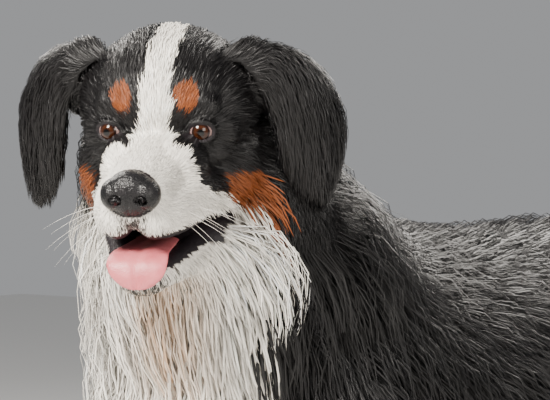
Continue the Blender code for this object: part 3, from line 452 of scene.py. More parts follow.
def shape_lids(obj):
    """Opens the skin over each eyeball and raises a soft fold of lid round the opening."""
    places = triples(obj.data.vertices, "co")
    for side in SIDES.values():
        outward = np.array(eye_frame(side))
        local, radius, past = eye_angles(places, side)
        near = radius < EYE_RADIUS * LID_REACH
        wanted = radius.copy()
        hole = near & (past < 0)
        wanted[hole] = EYE_RADIUS - EYE_CLEARANCE
        fold = near & (past >= 0) & (past < LID_ANGLE)
        arch = np.sin(np.clip(past / LID_FOLD_ANGLE, 0, 1) * math.pi)
        lid = EYE_RADIUS + LID_EDGE + LID_FOLD * arch
        blend = np.clip((LID_ANGLE - past) / (LID_ANGLE - LID_FOLD_ANGLE), 0, 1)
        wanted[fold] = (radius + (lid - radius) * blend)[fold]
        local *= (wanted / radius)[:, None]
        moved = local @ outward[:3, :3].T + outward[:3, 3]
        places[hole | fold] = moved[hole | fold]
    places[:, 2] = np.maximum(places[:, 2], FLOOR + SKIN_GAP)
    obj.data.vertices.foreach_set("co", places.astype(np.float32).ravel())
    obj.data.update()


def fused(one, other):
    """One skin of two that overlap."""
    union = one.modifiers.new("union", "BOOLEAN")
    union.operation = "UNION"
    union.object = other
    union.solver = "MANIFOLD"
    applied(one)
    bpy.data.objects.remove(other)
    return one


skin = fused(head_skin(), body_skin())
skin.name = skin.data.name = "skin"
shape_lids(skin)


# Lie of the coat on the left of the head and down its middle: place and way as left, forward, up,
# then the hair's length, its height over the skin and how closely it clings to it, from 0 to 1.
HEAD_LIE = (
    ((0.000, 0.090, -0.052), (0.3, -0.4, -1.0), 0.005, 0.0007, 1.0),
    ((0.000, 0.075, -0.020), (0.0, -1.0, 0.15), 0.006, 0.0007, 1.0),
    ((0.000, 0.040, -0.010), (0.0, -1.0, 0.20), 0.008, 0.0010, 1.0),
    ((0.000, 0.005, 0.010), (0.0, -0.7, 0.80), 0.010, 0.0014, 1.0),
    ((0.022, 0.012, 0.005), (0.5, -0.2, 0.90), 0.008, 0.0011, 1.0),
    ((0.000, -0.020, 0.055), (0.0, -0.9, 0.50), 0.015, 0.0035, 1.0),
    ((0.000, -0.080, 0.075), (0.0, -1.0, -0.05), 0.024, 0.0060, 1.0),
    ((0.000, -0.130, 0.050), (0.0, -1.0, -0.60), 0.050, 0.0220, 0.8),
    ((0.030, 0.060, -0.045), (0.2, -1.0, -0.25), 0.007, 0.0009, 1.0),
    ((0.036, 0.030, -0.065), (0.2, -0.8, -0.60), 0.010, 0.0012, 1.0),
    ((0.045, -0.020, -0.070), (0.3, -0.8, -0.60), 0.015, 0.0035, 0.9),
    ((0.045, 0.000, -0.020), (0.5, -0.8, -0.35), 0.010, 0.0014, 1.0),
    ((0.065, -0.040, -0.030), (0.2, -0.8, -0.60), 0.020, 0.0050, 0.9),
    ((0.070, -0.090, -0.030), (0.6, -0.5, -0.90), 0.060, 0.0300, 0.5),
    ((0.065, -0.060, -0.075), (0.5, -0.5, -1.00), 0.050, 0.0200, 0.5),
    ((0.031, 0.000, 0.030), (0.4, -0.3, 0.90), 0.010, 0.0015, 1.0),
    ((0.065, -0.050, 0.020), (0.3, -1.0, -0.10), 0.018, 0.0040, 1.0),
    ((0.045, -0.060, 0.060), (0.3, -1.0, 0.10), 0.022, 0.0050, 1.0),
    ((0.000, 0.075, -0.125), (0.0, -0.5, -1.00), 0.012, 0.0015, 0.8),
    ((0.035, 0.010, -0.110), (0.3, -0.8, -0.70), 0.018, 0.0050, 0.6),
    ((0.000, -0.030, -0.120), (0.0, -0.4, -1.00), 0.050, 0.0140, 0.5),
)
# The same for the left ear flap, root to tip.
EAR_LIE = (
    ((0.075, -0.066, 0.062), (0.8, -0.1, -0.3), 0.020, 0.0050, 1.0),
    ((0.110, -0.070, 0.030), (0.25, 0.0, -1.0), 0.030, 0.0060, 0.9),
    ((0.122, -0.077, -0.026), (0.05, 0.0, -1.0), 0.030, 0.0060, 0.5),
    ((0.124, -0.078, -0.056), (0.0, 0.0, -1.0), 0.020, 0.0060, 0.2),
    ((0.124, -0.078, -0.078), (0.0, 0.0, -1.0), 0.014, 0.0040, 0.2),
)
# The same for the left of the body, in the part's own x, y and z.
BODY_LIE = (
    ((0.000, -0.280, 0.800), (0.0, 0.8, -0.60), 0.065, 0.038, 0.9),
    ((0.110, -0.300, 0.680), (0.25, 0.30, -0.90), 0.080, 0.046, 0.7),
    ((0.090, -0.370, 0.610), (0.40, -0.10, -1.00), 0.095, 0.056, 0.4),
    ((0.085, -0.400, 0.670), (0.50, -0.10, -1.00), 0.090, 0.046, 0.3),
    ((0.100, -0.340, 0.520), (0.30, 0.00, -1.00), 0.090, 0.048, 0.5),
    ((0.000, -0.170, 0.670), (0.0, 1.0, -0.25), 0.065, 0.036, 0.9),
    ((0.000, -0.450, 0.670), (0.0, -0.15, -1.00), 0.090, 0.022, 0.4),
    ((0.000, -0.430, 0.600), (0.0, -0.15, -1.00), 0.090, 0.034, 0.5),
    ((0.000, -0.400, 0.520), (0.0, 0.0, -1.00), 0.090, 0.038, 0.6),
    ((0.000, -0.360, 0.400), (0.0, 0.3, -1.00), 0.080, 0.034, 0.5),
    ((0.150, -0.220, 0.500), (0.05, 0.5, -0.90), 0.060, 0.026, 0.9),
    ((0.000, 0.000, 0.650), (0.0, 1.0, -0.10), 0.050, 0.022, 0.9),
    ((0.000, 0.250, 0.650), (0.0, 1.0, -0.20), 0.055, 0.024, 0.9),
    ((0.000, 0.360, 0.580), (0.0, 0.8, -0.60), 0.060, 0.028, 0.8),
    ((0.140, 0.000, 0.500), (0.0, 0.8, -0.60), 0.065, 0.026, 0.9),
    ((0.130, 0.180, 0.500), (0.0, 0.7, -0.70), 0.065, 0.026, 0.9),
    ((0.000, 0.000, 0.345), (0.0, 0.7, -0.70), 0.060, 0.030, 0.4),
    ((0.100, 0.000, 0.370), (0.1, 0.6, -0.80), 0.075, 0.030, 0.4),
    ((0.110, -0.200, 0.360), (0.0, 0.4, -1.00), 0.050, 0.022, 0.7),
    ((0.100, -0.270, 0.220), (0.0, 0.1, -1.00), 0.018, 0.005, 1.0),
    ((0.100, -0.180, 0.250), (0.0, 0.6, -0.90), 0.065, 0.016, 0.2),
    ((0.100, -0.250, 0.100), (0.0, 0.1, -1.00), 0.016, 0.004, 1.0),
    ((0.100, -0.300, 0.050), (0.0, -0.6, -0.60), 0.010, 0.003, 1.0),
    ((0.140, 0.200, 0.420), (0.0, 0.5, -1.00), 0.060, 0.022, 0.8),
    ((0.080, 0.300, 0.420), (0.0, 0.6, -1.00), 0.095, 0.026, 0.4),
    ((0.100, 0.140, 0.330), (0.0, 0.4, -1.00), 0.030, 0.010, 0.9),
    ((0.100, 0.220, 0.240), (0.0, 0.3, -1.00), 0.020, 0.005, 1.0),
    ((0.100, 0.310, 0.250), (0.0, 0.5, -1.00), 0.050, 0.014, 0.3),
    ((0.098, 0.350, 0.160), (0.0, 0.1, -1.00), 0.018, 0.004, 0.9),
    ((0.098, 0.320, 0.090), (0.0, 0.0, -1.00), 0.014, 0.004, 1.0),
    ((0.098, 0.280, 0.050), (0.0, -0.6, -0.60), 0.010, 0.003, 1.0),
)
# The tail's hair: how far it spreads from the bone and hangs, and its length, height and cling.
TAIL_SPREAD = 0.75
TAIL_FALL = (0, 0, -0.35)
TAIL_HAIR = (0.085, 0.022, 0.3)
TAIL_GUIDES = 16
# Rows of the tail's bone where its own hair and its white tip begin.
TAIL_ROOT = 7
TAIL_TIP = 36
# Kinds of guides, how near an ear or the tail its own kind holds, and where the ears begin.
BODY_KIND, EAR_KIND, TAIL_KIND = 0, 1, 2
KIND_REACH = 0.045
EAR_INNER = 0.086
# Places blended at a time, and what keeps a guide's share finite at its own place.
LIE_BATCH = 20000
LIE_SOFTNESS = 1e-4

# Bare skin: the lids' rim as an angle past their opening, the nose's rim, soles, and lips. Each lip
# has its outer edge and the height past which it is all bare, and how it faces where it is bare.
BARE_LID = 0.10
BARE_NOSE = (0.0245, 0.02, 0.0215)
SOLE = 0.004
MOUTH_LEVEL = -0.089
MOUTH_BACK = -0.045
MOUTH_WIDTH = 0.060
UPPER_LIP = -0.066
UPPER_INSIDE = -0.0765
UPPER_FACING = -0.45
LOWER_LIP = -0.125
LOWER_INSIDE = -0.0975
LOWER_FACING = 0.4

# Tufts on a square metre of hair this long, how fewer they are the longer it is, and the shares of
# the legs, of the coat in front and of the coat behind.
TUFT_DENSITY = 36000
DENSITY_LENGTH = 0.06
DENSITY_POWER = 1.1
LEG_TOP = 0.33
CHEST_FRONT = -0.42
LEG_DENSITY = 0.5
FRONT = -0.2
FRONT_DENSITY = 1.45
REAR_DENSITY = 0.62

# Hair shorter than this has few rings. The steps are the rings' shares of a tuft's length.
SHORT_HAIR = 0.026
SHORT_STEPS = (0.0, 0.5, 1.0)
LONG_STEPS = (0.0, 0.28, 0.56, 0.82, 1.0)
# Triangles of the whole coat, and of one piece of it.
COAT_TRIANGLES = 1_440_000
PIECE_TRIANGLES = 190_000
BAKE_PATCH = 0.003
TUFT_VALUES = ("vertices", "normal", "tint", "strand", "uv")
# Draws of one tuft: its length and height, its swerve, and how much of its last way it keeps.
LENGTH_RANGE = (0.75, 1.15)
HEIGHT_RANGE = (0.35, 1.0)
SWERVE = 0.10
STEADINESS = 0.4
# A tuft has risen at RISE_END of its length and sags by SAG from SAG_START on.
RISE_END = 0.5
SAG_START = 0.6
SAG = 0.3
# Bunches of tufts: how many share one, how strongly they are drawn together, and their wave.
BUNCH = 11
BUNCH_LENGTH = 0.06
BUNCH_PULL = (0.15, 0.75)
BUNCH_POWER = 1.4
WAVE_TURN = 5.5
WAVE_FROM = 0.02
WAVE_SIZE = 0.045
# A tuft's width at its root, where it is full and how it tapers, and how its faces are shaded.
ROOT_WIDTH = 0.55
FULL_WIDTH = 0.4
TAPER = 0.45
TUFT_DEPTH = 0.6
TUFT_ROUNDNESS = 0.5
TUFT_LEAN = 0.16
# A tuft's width from its length, in metres, and its draw.
WIDTH_LEAST = 0.0006
WIDTH_SHARE = 0.028
WIDTH_MOST = 0.0022
WIDTH_RANGE = (0.7, 1.3)

rng = np.random.default_rng(SEED)
head_in = np.array(HEAD.inverted())


def head_places(places):
    """Left, forward and up of each place in the head's frame."""
    local = places @ head_in[:3, :3].T + head_in[:3, 3]
    return local[:, 0], -local[:, 1], local[:, 2]


def unit(vectors):
    return vectors / np.maximum(np.linalg.norm(vectors, axis=-1, keepdims=True), 1e-9)


def guide_rows():
    """Place, way, length, height, cling and kind of each guide, on both sides."""
    rows = []
    turn = HEAD.to_3x3()
    for kind, table in ((BODY_KIND, HEAD_LIE), (EAR_KIND, EAR_LIE)):
        for place, way, *rest in table:
            for side in SIDES.values():
                at = HEAD @ headed(side * place[0], *place[1:])
                along_it = (turn @ headed(side * way[0], *way[1:])).normalized()
                rows.append((*at, *along_it, *rest, kind))
    for (x, y, z), (a, b, c), *rest in BODY_LIE:
        for side in SIDES.values():
            rows.append((side * x, y, z, *Vector((side * a, b, c)).normalized(), *rest, BODY_KIND))
    for x, y, z, _ in along(TAIL, TAIL_GUIDES):
        rows.append((x, y, z, 0, 0, 0, *TAIL_HAIR, TAIL_KIND))
    return np.array(rows)


def ear_middles(side):
    return np.array([HEAD @ headed(side * left, ahead, up) for left, ahead, up, _ in along(EAR, EAR_ROWS)])


GUIDES = guide_rows()
tail_rows = np.array(along(TAIL, TAIL_BEADS))
ear_rows = {side: ear_middles(side) for side in SIDES.values()}


def tail_gaps(places):
    """Distance of each place from each row of the tail's bone."""
    return np.linalg.norm(places[:, None] - tail_rows[None, :, :3], axis=2)


def kinds(places):
    """Which guides hold at each place: the body's and head's, an ear's or the tail's."""
    kind = np.full(len(places), BODY_KIND)
    left = head_places(places)[0]
    for side, rows in ear_rows.items():
        gap = np.linalg.norm(places[:, None] - rows[None], axis=2).min(axis=1)
        kind[(gap < KIND_REACH) & (side * left > EAR_INNER)] = EAR_KIND
    gap = tail_gaps(places)
    kind[(gap.min(axis=1) < KIND_REACH) & (gap.argmin(axis=1) > TAIL_ROOT)] = TAIL_KIND
    return kind


def lie(places, kind):
    """Way, length, height and cling of the coat at each place, blended from the guides near it."""
    found = np.empty((len(places), 6))
    for start in range(0, len(places), LIE_BATCH):
        part = slice(start, start + LIE_BATCH)
        gap = ((places[part, None] - GUIDES[None, :, :3]) ** 2).sum(axis=2)
        share = (GUIDES[None, :, 9] == kind[part, None]) / (gap + LIE_SOFTNESS) ** 2
        share /= share.sum(axis=1, keepdims=True)
        found[part] = share @ GUIDES[:, 3:9]
    tail = np.flatnonzero(kind == TAIL_KIND)
    if len(tail):
        near = np.clip(tail_gaps(places[tail]).argmin(axis=1), 1, len(tail_rows) - 2)
        down = unit(tail_rows[near + 1, :3] - tail_rows[near - 1, :3])
        away = unit(places[tail] - tail_rows[near, :3])
        found[tail, :3] = down + TAIL_SPREAD * away + TAIL_FALL
    found[:, :3] = unit(found[:, :3])
    return found


def mesh_arrays(obj):
    """Vertex places, vertex normals and triangle corners of an object's mesh."""
    mesh = obj.data
    mesh.calc_loop_triangles()
    places, normals = triples(mesh.vertices, "co"), triples(mesh.vertex_normals, "vector")
    return places, normals, triples(mesh.loop_triangles, "vertices", int)


skin_places, skin_normals, skin_corners = mesh_arrays(skin)
skin_tree = BVHTree.FromPolygons(skin_places.tolist(), skin_corners.tolist())


def bare(places):
    """True where no hair grows: over the eyes, round the nose, in the mouth, on lips and soles."""
    left, forward, up = head_places(places)
    none = places[:, 2] < SOLE
    for side in SIDES.values():
        _, radius, past = eye_angles(places, side)
        none |= (past < BARE_LID) & (radius < EYE_RADIUS * LID_REACH)
    nose = (np.stack([left, forward, up], 1) - NOSE) / BARE_NOSE
    none |= np.linalg.norm(nose, axis=1) < 1
    facing = skin_facing(places)
    mouth = (forward > MOUTH_BACK) & (np.abs(left) < MOUTH_WIDTH)
    upper = (up < UPPER_LIP) & (up > MOUTH_LEVEL) & ((facing < UPPER_FACING) | (up < UPPER_INSIDE))
    lower = (up <= MOUTH_LEVEL) & (up > LOWER_LIP) & ((facing > LOWER_FACING) | (up > LOWER_INSIDE))
    return none | (mouth & (upper | lower))


def skin_facing(places):
    """How far the skin's normal points up in the head's frame at each place on it."""
    _, normals = nearest(places)
    return normals @ np.array(HEAD)[:3, 2]


def nearest(places):
    found = [skin_tree.find_nearest(place)[:2] for place in places.tolist()]
    return np.array([at for at, _ in found]), np.array([normal for _, normal in found])


def density(places, length):
    """Tufts for each square metre: short hair is denser, and so is the coat in front."""
    dense = TUFT_DENSITY * (DENSITY_LENGTH / length) ** DENSITY_POWER
    legs = (places[:, 2] < LEG_TOP) & (places[:, 1] > CHEST_FRONT)
    dense = np.where(legs, dense * LEG_DENSITY, dense)
    dense = np.where((places[:, 1] < FRONT) & ~legs, dense * FRONT_DENSITY, dense)
    return np.where(places[:, 1] > 0.0, dense * REAR_DENSITY, dense)


def tuft_triangles(steps):
    """Triangles of one tuft: six up each ring but the last, three at the tip and one at the root."""
    return 6 * (len(steps) - 2) + 4


def roots(amount):
    """Places on the skin where this share of the coat's tufts grow, with the skin's normals there."""
    centres = skin_places[skin_corners].mean(axis=1)
    a, b, c = (skin_places[skin_corners[:, k]] for k in range(3))
    area = np.linalg.norm(np.cross(b - a, c - a), axis=1) / 2
    length = lie(centres, kinds(centres))[:, 3]
    weight = area * density(centres, length)
    weight[bare(centres)] = 0
    triangles = np.where(length < SHORT_HAIR, tuft_triangles(SHORT_STEPS), tuft_triangles(LONG_STEPS))
    total = int(COAT_TRIANGLES / (weight * triangles).sum() * weight.sum() * amount)
    ends = np.cumsum(weight)
    picked = np.searchsorted(ends, rng.random(total) * ends[-1])
    picked = np.minimum(picked, len(area) - 1)
    one, two = rng.random((2, total))
    over = one + two > 1
    one[over], two[over] = 1 - one[over], 1 - two[over]
    shares = np.stack([1 - one - two, one, two], axis=1)[:, :, None]
    corners = skin_corners[picked]
    normals = unit((skin_normals[corners] * shares).sum(axis=1))
    return (skin_places[corners] * shares).sum(axis=1), normals


def rise(t):
    """Share of its height that a tuft has at this share of its length."""
    sag = SAG * max(0.0, t - SAG_START) / (1 - SAG_START)
    return np.sin(min(t / RISE_END, 1) * math.pi / 2) * (1 - sag)


def grown(places, normals, kind, steps):
    """Middles and normals of each tuft's rings, laid over the skin the way the coat lies."""
    count = len(places)
    start = lie(places, kind)
    length = start[:, 3] * rng.uniform(*LENGTH_RANGE, count)
    height = start[:, 4] * rng.uniform(*HEIGHT_RANGE, count)
    swerve = rng.normal(0, SWERVE, count)
    rows, ups = [places], [normals]
    for low, high in zip(steps, steps[1:]):
        way = lie(rows[-1], kind)
        flow, cling = way[:, :3], way[:, 5]
        flat = unit(flow - (flow * ups[-1]).sum(axis=1, keepdims=True) * ups[-1] * cling[:, None])
        flat = unit(flat + np.cross(ups[-1], flat) * swerve[:, None])
        moved = rows[-1] + flat * (length * (high - low))[:, None]
        at, up = nearest(moved)
        over = ((moved - at) * up).sum(axis=1)
        wanted = height * rise(high)
        lifted = np.where(over < wanted, wanted - over, (wanted - over) * cling)
        moved += up * lifted[:, None]
        moved[:, 2] = np.maximum(moved[:, 2], FLOOR + HAIR_GAP)
        rows.append(moved)
        ups.append(unit(ups[-1] * STEADINESS + up * (1 - STEADINESS)))
    return np.stack(rows, 1), np.stack(ups, 1), length


def clumped(rows, places, length, steps):
    """Draws the tips of neighbouring tufts together and gives each bunch its own wave."""
    count = len(places)
    heads = rng.choice(count, max(1, count // BUNCH), replace=False)
    tree = KDTree(len(heads))
    for number, chosen in enumerate(heads):
        tree.insert(places[chosen], number)
    tree.balance()
    found = [tree.find(place) for place in places.tolist()]
    owner = heads[np.array([number for _, number, _ in found])]
    gap = np.array([distance for _, _, distance in found])
    pull = np.clip(length / BUNCH_LENGTH, 0, 1) * rng.uniform(*BUNCH_PULL, count) * (gap < length)
    turn = rng.uniform(0, 2 * math.pi, count)[owner]
    across = unit(np.cross(rows[:, -1] - rows[:, 0], rows[:, 1] - rows[:, 0] + 1e-6))
    for k, t in enumerate(steps):
        together = (pull * t ** BUNCH_POWER)[:, None]
        rows[:, k] = rows[:, k] * (1 - together) + rows[owner, k] * together
        wave = np.sin(turn + WAVE_TURN * t) - np.sin(turn)
        size = np.clip(length - WAVE_FROM, 0, 1) * WAVE_SIZE
        rows[:, k] += across[owner] * (size * wave * t)[:, None]
    return rows


def girth(t):
    """Share of its full width that a tuft has at this share of its length."""
    swell = ROOT_WIDTH + (1 - ROOT_WIDTH) * math.sin(min(t / FULL_WIDTH, 1) * math.pi / 2)
    return swell * (1 - t) ** TAPER


def tufts(rows, ups, width, steps):
    """Vertices and normals of three-sided tufts round the rows, and each one's share out and along."""
    last = len(steps) - 1
    ahead = [rows[:, min(k + 1, last)] - rows[:, max(k - 1, 0)] for k in range(last + 1)]
    ahead = unit(np.stack(ahead, 1))
    side = unit(np.cross(ahead, ups))
    up = np.cross(side, ahead)
    lean = rng.normal(0, TUFT_LEAN, (len(rows), 3))
    vertices, normals, shares = [], [], []
    for k, t in enumerate(steps[:-1]):
        half = (width * girth(t) / 2)[:, None]
        for out, lift in ((-1, 0), (1, 0), (0, TUFT_DEPTH)):
            vertices.append(rows[:, k] + side[:, k] * half * out + up[:, k] * half * lift)
            normals.append(unit(side[:, k] * out * TUFT_ROUNDNESS + lean + ups[:, k]))
            shares.append((out, t))
    vertices.append(rows[:, -1])
    normals.append(unit(ups[:, -1] + lean))
    shares.append((0, 1))
    return np.stack(vertices, 1), np.stack(normals, 1), np.array(shares, float)


def tuft_faces(steps):
    """Quads up the sides of one tuft, then its three faces at the tip and the one at its root."""
    rings = len(steps) - 1
    quads = [
        (3 * k + i, 3 * k + 3 + i, 3 * k + 3 + (i + 1) % 3, 3 * k + (i + 1) % 3)
        for k in range(rings - 1)
        for i in range(3)
    ]
    top = 3 * (rings - 1)
    tips = [(top + (i + 1) % 3, top + i, top + 3) for i in range(3)]
    return quads, tips + [(0, 1, 2)]


def flat(rows):
    """The rows' numbers one after another, as a mesh takes them."""
    return np.concatenate(rows).astype(np.float32).ravel()


def mesh_of(name, groups):
    """A mesh of whole tufts. Each group gives its vertices, faces and values at the vertices."""
    mesh = bpy.data.meshes.new(name)
    loops, sizes = [], []
    values = {key: [] for key in TUFT_VALUES}
    base = 0
    for group in groups:
        count, each = group["vertices"].shape[:2]
        if not count:
            continue
        offsets = base + each * np.arange(count)[:, None, None]
        for faces in group["faces"]:
            loops.append((np.array(faces)[None] + offsets).ravel())
            sizes.append(np.full(count * len(faces), len(faces[0])))
        for key, rows in values.items():
            rows.append(group[key].reshape(-1, group[key].shape[-1]))
        base += count * each
    loops = np.concatenate(loops)
    sizes = np.concatenate(sizes)
    mesh.vertices.add(base)
    mesh.vertices.foreach_set("co", flat(values["vertices"]))
    mesh.loops.add(len(loops))
    mesh.loops.foreach_set("vertex_index", loops.astype(np.int32))
    mesh.polygons.add(len(sizes))
    mesh.polygons.foreach_set("loop_start", (np.cumsum(sizes) - sizes).astype(np.int32))
    mesh.update(calc_edges=True)
    mesh.polygons.foreach_set("use_smooth", np.ones(len(sizes), bool))
    for key, kind, field in (("tint", "FLOAT_COLOR", "color"), ("strand", "FLOAT_VECTOR", "vector")):
        mesh.attributes.new(key, kind, "POINT").data.foreach_set(field, flat(values[key]))
    at_corners = np.concatenate(values["uv"])[loops]
    mesh.uv_layers.new(name="OFBake").uv.foreach_set("vector", flat([at_corners]))
    mesh.normals_split_custom_set_from_vertices(flat(values["normal"]).reshape(-1, 3))
    made = linked(name, mesh)
    made.matrix_world = SHIFT
    return made


BLACK, WHITE, TAN = 0, 1, 2
CLASSES = ("black", "white", "tan")
TINTS = np.array([(0.0050, 0.0043, 0.0046), (0.88, 0.835, 0.755), (0.21, 0.054, 0.012)])
LIP_BLACK = (0.010, 0.007, 0.009)
# What the mouth's moisture stain and painted shade under the jaw leave of the throat's colour, and where
# they are.
STAIN_AND_SHADE = (0.62, 0.40, 0.26)
STAIN_AND_SHADE_DRAW = (0.5, 1)
STAIN_AND_SHADE_WIDTH = (0.045, 1.2)
STAIN_AND_SHADE_TOP = (0.112, 0.014)
STAIN_AND_SHADE_BOTTOM = (-0.235, 0.06)
STAIN_AND_SHADE_BACK = -0.10
# Dark hairs: how many and how dark. Under the nose and on the chin, the size of the patch and how far
# past it they thin out, then its bounds as forward and up.
SPECKS = 0.85
SPECK_SHADE = 0.05
LIP_SPECKS = (0.013, 1.25)
LIP_FRONT = 0.078
LIP_SPAN = (-0.09, -0.045)
CHIN_SPECKS = (0.026, 1.3)
CHIN_MIDDLE = 0.074
CHIN_STRETCH = 1.2
CHIN_SPAN = (-0.135, -0.09)

# Half width of the face's white at heights over the eyes, from the skull down to the lips, and how far
# the blaze leans to the left at this height.
BLAZE = (
    (0.090, 0.0120),
    (0.030, 0.0125),
    (0.000, 0.0143),
    (-0.026, 0.031),
    (-0.056, 0.058),
    (-0.080, 0.066),
)
BLAZE_LEAN = 0.008
BLAZE_TOP = 0.09
# Tan spots of the face: middle and half size in two ways, and how loose the border is.
CHEEK = ((-0.030, 0.027), (-0.074, 0.038), 40)
CHEEK_INNER = 0.040
EYE_SPOT = ((0.0275, 0.0105), (0.028, 0.0120), 60)
EYE_SPOT_BACK = -0.05
# White of the face, muzzle and throat, and black of the ears, in the head's frame.
FACE_BACK = -0.075
FACE_BOTTOM = -0.085
MUZZLE_BACK = 0.028
MUZZLE_TOP = 0.004
THROAT_WIDTH = 0.060
EAR_BOTTOM = -0.10
EAR_BACK = -0.125
# The bib: how far it reaches round the chest, in degrees from its middle, at these heights.
BIB_CORE = -0.24
BIB_HEIGHTS = (0.33, 0.40, 0.52, 0.72)
BIB_REACH = (14, 26, 38, 40)
BIB_LOOSENESS = 260
BIB_MIDDLE = -7
BIB_SPAN = (0.335, 0.735)
BIB_UNDER = -0.07
BIB_AHEAD = 0.07
# Marks of the legs: class, height of the top, its looseness, and their bounds along the body.
LEG_INNER = 0.045
LEG_MARKS = (
    (TAN, 0.30, 2, -1.0, -0.1),
    (TAN, 0.27, 2, 0.05, 1.0),
    (WHITE, 0.085, 1, -1.0, -0.1),
    (WHITE, 0.062, 1, 0.05, 0.42),
)
TAIL_BACK = 0.45
# Borders wander by bumps of this scale and size, by a draw, and this much more below this height.
WANDER_SCALE = 0.012
WANDER_SIZE = 0.006
WANDER_DRAW = 0.0012
WANDER_TOP = 0.62
WANDER_MORE = 4.0
# Shades: large patches, spread from tuft to tuft, and painted shade from root to tip, darker at the root
# and a little lighter at the tip.
PATCH_SCALE = 0.05
PATCH_SHADE = 0.20
SHORT_SPREAD = 0.06
LONG_SPREAD = 0.13
ROOT_PAINTED_SHADE = 0.84
PAINTED_SHADE_LIFT = 0.22
# The skin is painted darker than the coat, as painted shade deep in the coat between the tufts.
SKIN_PAINTED_SHADE = 0.75

# The coat's pieces, their bounds, and the way along which large ones are cut.
REGIONS = ("head", "ears", "trunk", "legs", "tail")
LEG_REGION = (0.335, 0.03)
HEAD_REGION = (-0.10, -0.14, 0.1)
CUT_WAY = (0.3, 1.0, -0.2)
# Unwraps: each region's own axis, and its span as its start and size.
HEAD_AXIS = -0.02
HEAD_SPAN = (-0.16, 0.29)
TRUNK_AXIS = 0.49
TRUNK_SPAN = (-0.50, 0.88)
LEG_AXES = (0.10, -0.23, 0.27)
LEG_SPLIT = -0.05
LEG_SPAN = (0, 0.36)
EAR_SPANS = ((-0.13, 0.11), (-0.10, 0.18))
EAR_OUTSIDE = 0.115


def rough(places, scale):
    """Smooth noise about 0, with bumps of this size."""
    return np.array([noise.noise(Vector(place) / scale) for place in places.tolist()])


def wandering(places, extra=0.0):
    """How far the markings' borders shift at each place, in metres."""
    wander = rough(places, WANDER_SCALE) * WANDER_SIZE + extra
    return wander * np.where(places[:, 2] < WANDER_TOP, WANDER_MORE, 1.0)


def inside(one, other, spot, wander):
    """True in a round spot, given its middle and half size in two ways and its looseness."""
    (middle, half), (other_middle, other_half), loose = spot
    return ((one - middle) / half) ** 2 + ((other - other_middle) / other_half) ** 2 + wander * loose < 1


def between(values, bounds):
    return (values > bounds[0]) & (values < bounds[1])


def markings(places, wander):
    """The coat's class at each place: black, white or tan. Wander shifts the borders, in metres."""
    left, forward, up = head_places(places)
    x, y, z = places.T
    off = np.abs(left)
    found = np.full(len(places), BLACK)
    found[between(off, (CHEEK_INNER, EAR_INNER)) & inside(forward, up, CHEEK, wander)] = TAN
    found[inside(off, up, EYE_SPOT, wander) & (forward > EYE_SPOT_BACK)] = TAN
    heights, widths = zip(*BLAZE[::-1])
    border = np.interp(up, heights, widths) + wander
    middle = BLAZE_LEAN * np.clip(up / BLAZE_TOP, 0, 1)
    face = (np.abs(left - middle) < border) & (up > FACE_BOTTOM) & (forward > FACE_BACK)
    face |= (forward + wander > MUZZLE_BACK) & (up < MUZZLE_TOP)
    face |= (up < FACE_BOTTOM) & (forward > FACE_BACK) & (off < THROAT_WIDTH + wander)
    found[face] = WHITE
    turn = np.degrees(np.arctan2(x, -(y - BIB_CORE)))
    reach = np.interp(z, BIB_HEIGHTS, BIB_REACH) + wander * BIB_LOOSENESS
    bib = (np.abs(turn - BIB_MIDDLE) < reach) & (z > BIB_SPAN[0] + wander) & (z < BIB_SPAN[1])
    found[bib & (up < BIB_UNDER) & (forward < BIB_AHEAD)] = WHITE
    for mark, top, loose, *bounds in LEG_MARKS:
        found[(np.abs(x) > LEG_INNER) & (z < top + wander * loose) & between(y, bounds)] = mark
    found[(y > TAIL_BACK) & (tail_gaps(places).argmin(axis=1) > TAIL_TIP)] = WHITE
    found[(off > EAR_INNER) & (up > EAR_BOTTOM) & (forward > EAR_BACK)] = BLACK
    return found


def near_middle(gap, patch):
    """A share that is 1 in the middle of a patch, given its size and where it thins out."""
    size, edge = patch
    return np.clip(edge - gap / size, 0, 1)


def span_share(values, span):
    """Where values lie in a span, given its start and size, from 0 to 1."""
    return np.clip((values - span[0]) / span[1], 0, 1)


def specks_stain_and_shade(places):
    """Dark hairs under the nose and on the chin, and the throat's stain and painted shade under the jaw,
    as shares of the colour.
    """
    left, forward, up = head_places(places)
    lip = near_middle(np.abs(left), LIP_SPECKS) * (forward > LIP_FRONT) * between(up, LIP_SPAN)
    chin = near_middle(np.hypot(left, (forward - CHIN_MIDDLE) / CHIN_STRETCH), CHIN_SPECKS)
    chin *= between(up, CHIN_SPAN)
    dark = rng.random(len(places)) < np.maximum(lip, chin) * SPECKS
    share = np.where(dark, SPECK_SHADE, 1.0)[:, None] * np.ones(3)
    # Under the jaw the throat is darkened and warmed: partly the mouth's stain, partly painted shade under
    # the jaw.
    under = near_middle(np.abs(left), STAIN_AND_SHADE_WIDTH) * span_share(-up, STAIN_AND_SHADE_TOP)
    under *= span_share(up, STAIN_AND_SHADE_BOTTOM) * (forward > STAIN_AND_SHADE_BACK)
    stain_and_shade = under * rng.uniform(*STAIN_AND_SHADE_DRAW, len(places))
    return share * (1 - stain_and_shade[:, None] * (1 - np.array(STAIN_AND_SHADE)))


def tinted(hair, shade):
    """Colours of the classes, each made lighter or darker by its own shade about 1."""
    return np.clip(TINTS[hair] * shade[:, None], 0, 1)


def turn_share(across, ahead):
    """The angle of each place round an axis, as a share of a full turn."""
    return np.arctan2(across, ahead) / (2 * math.pi) + 0.5


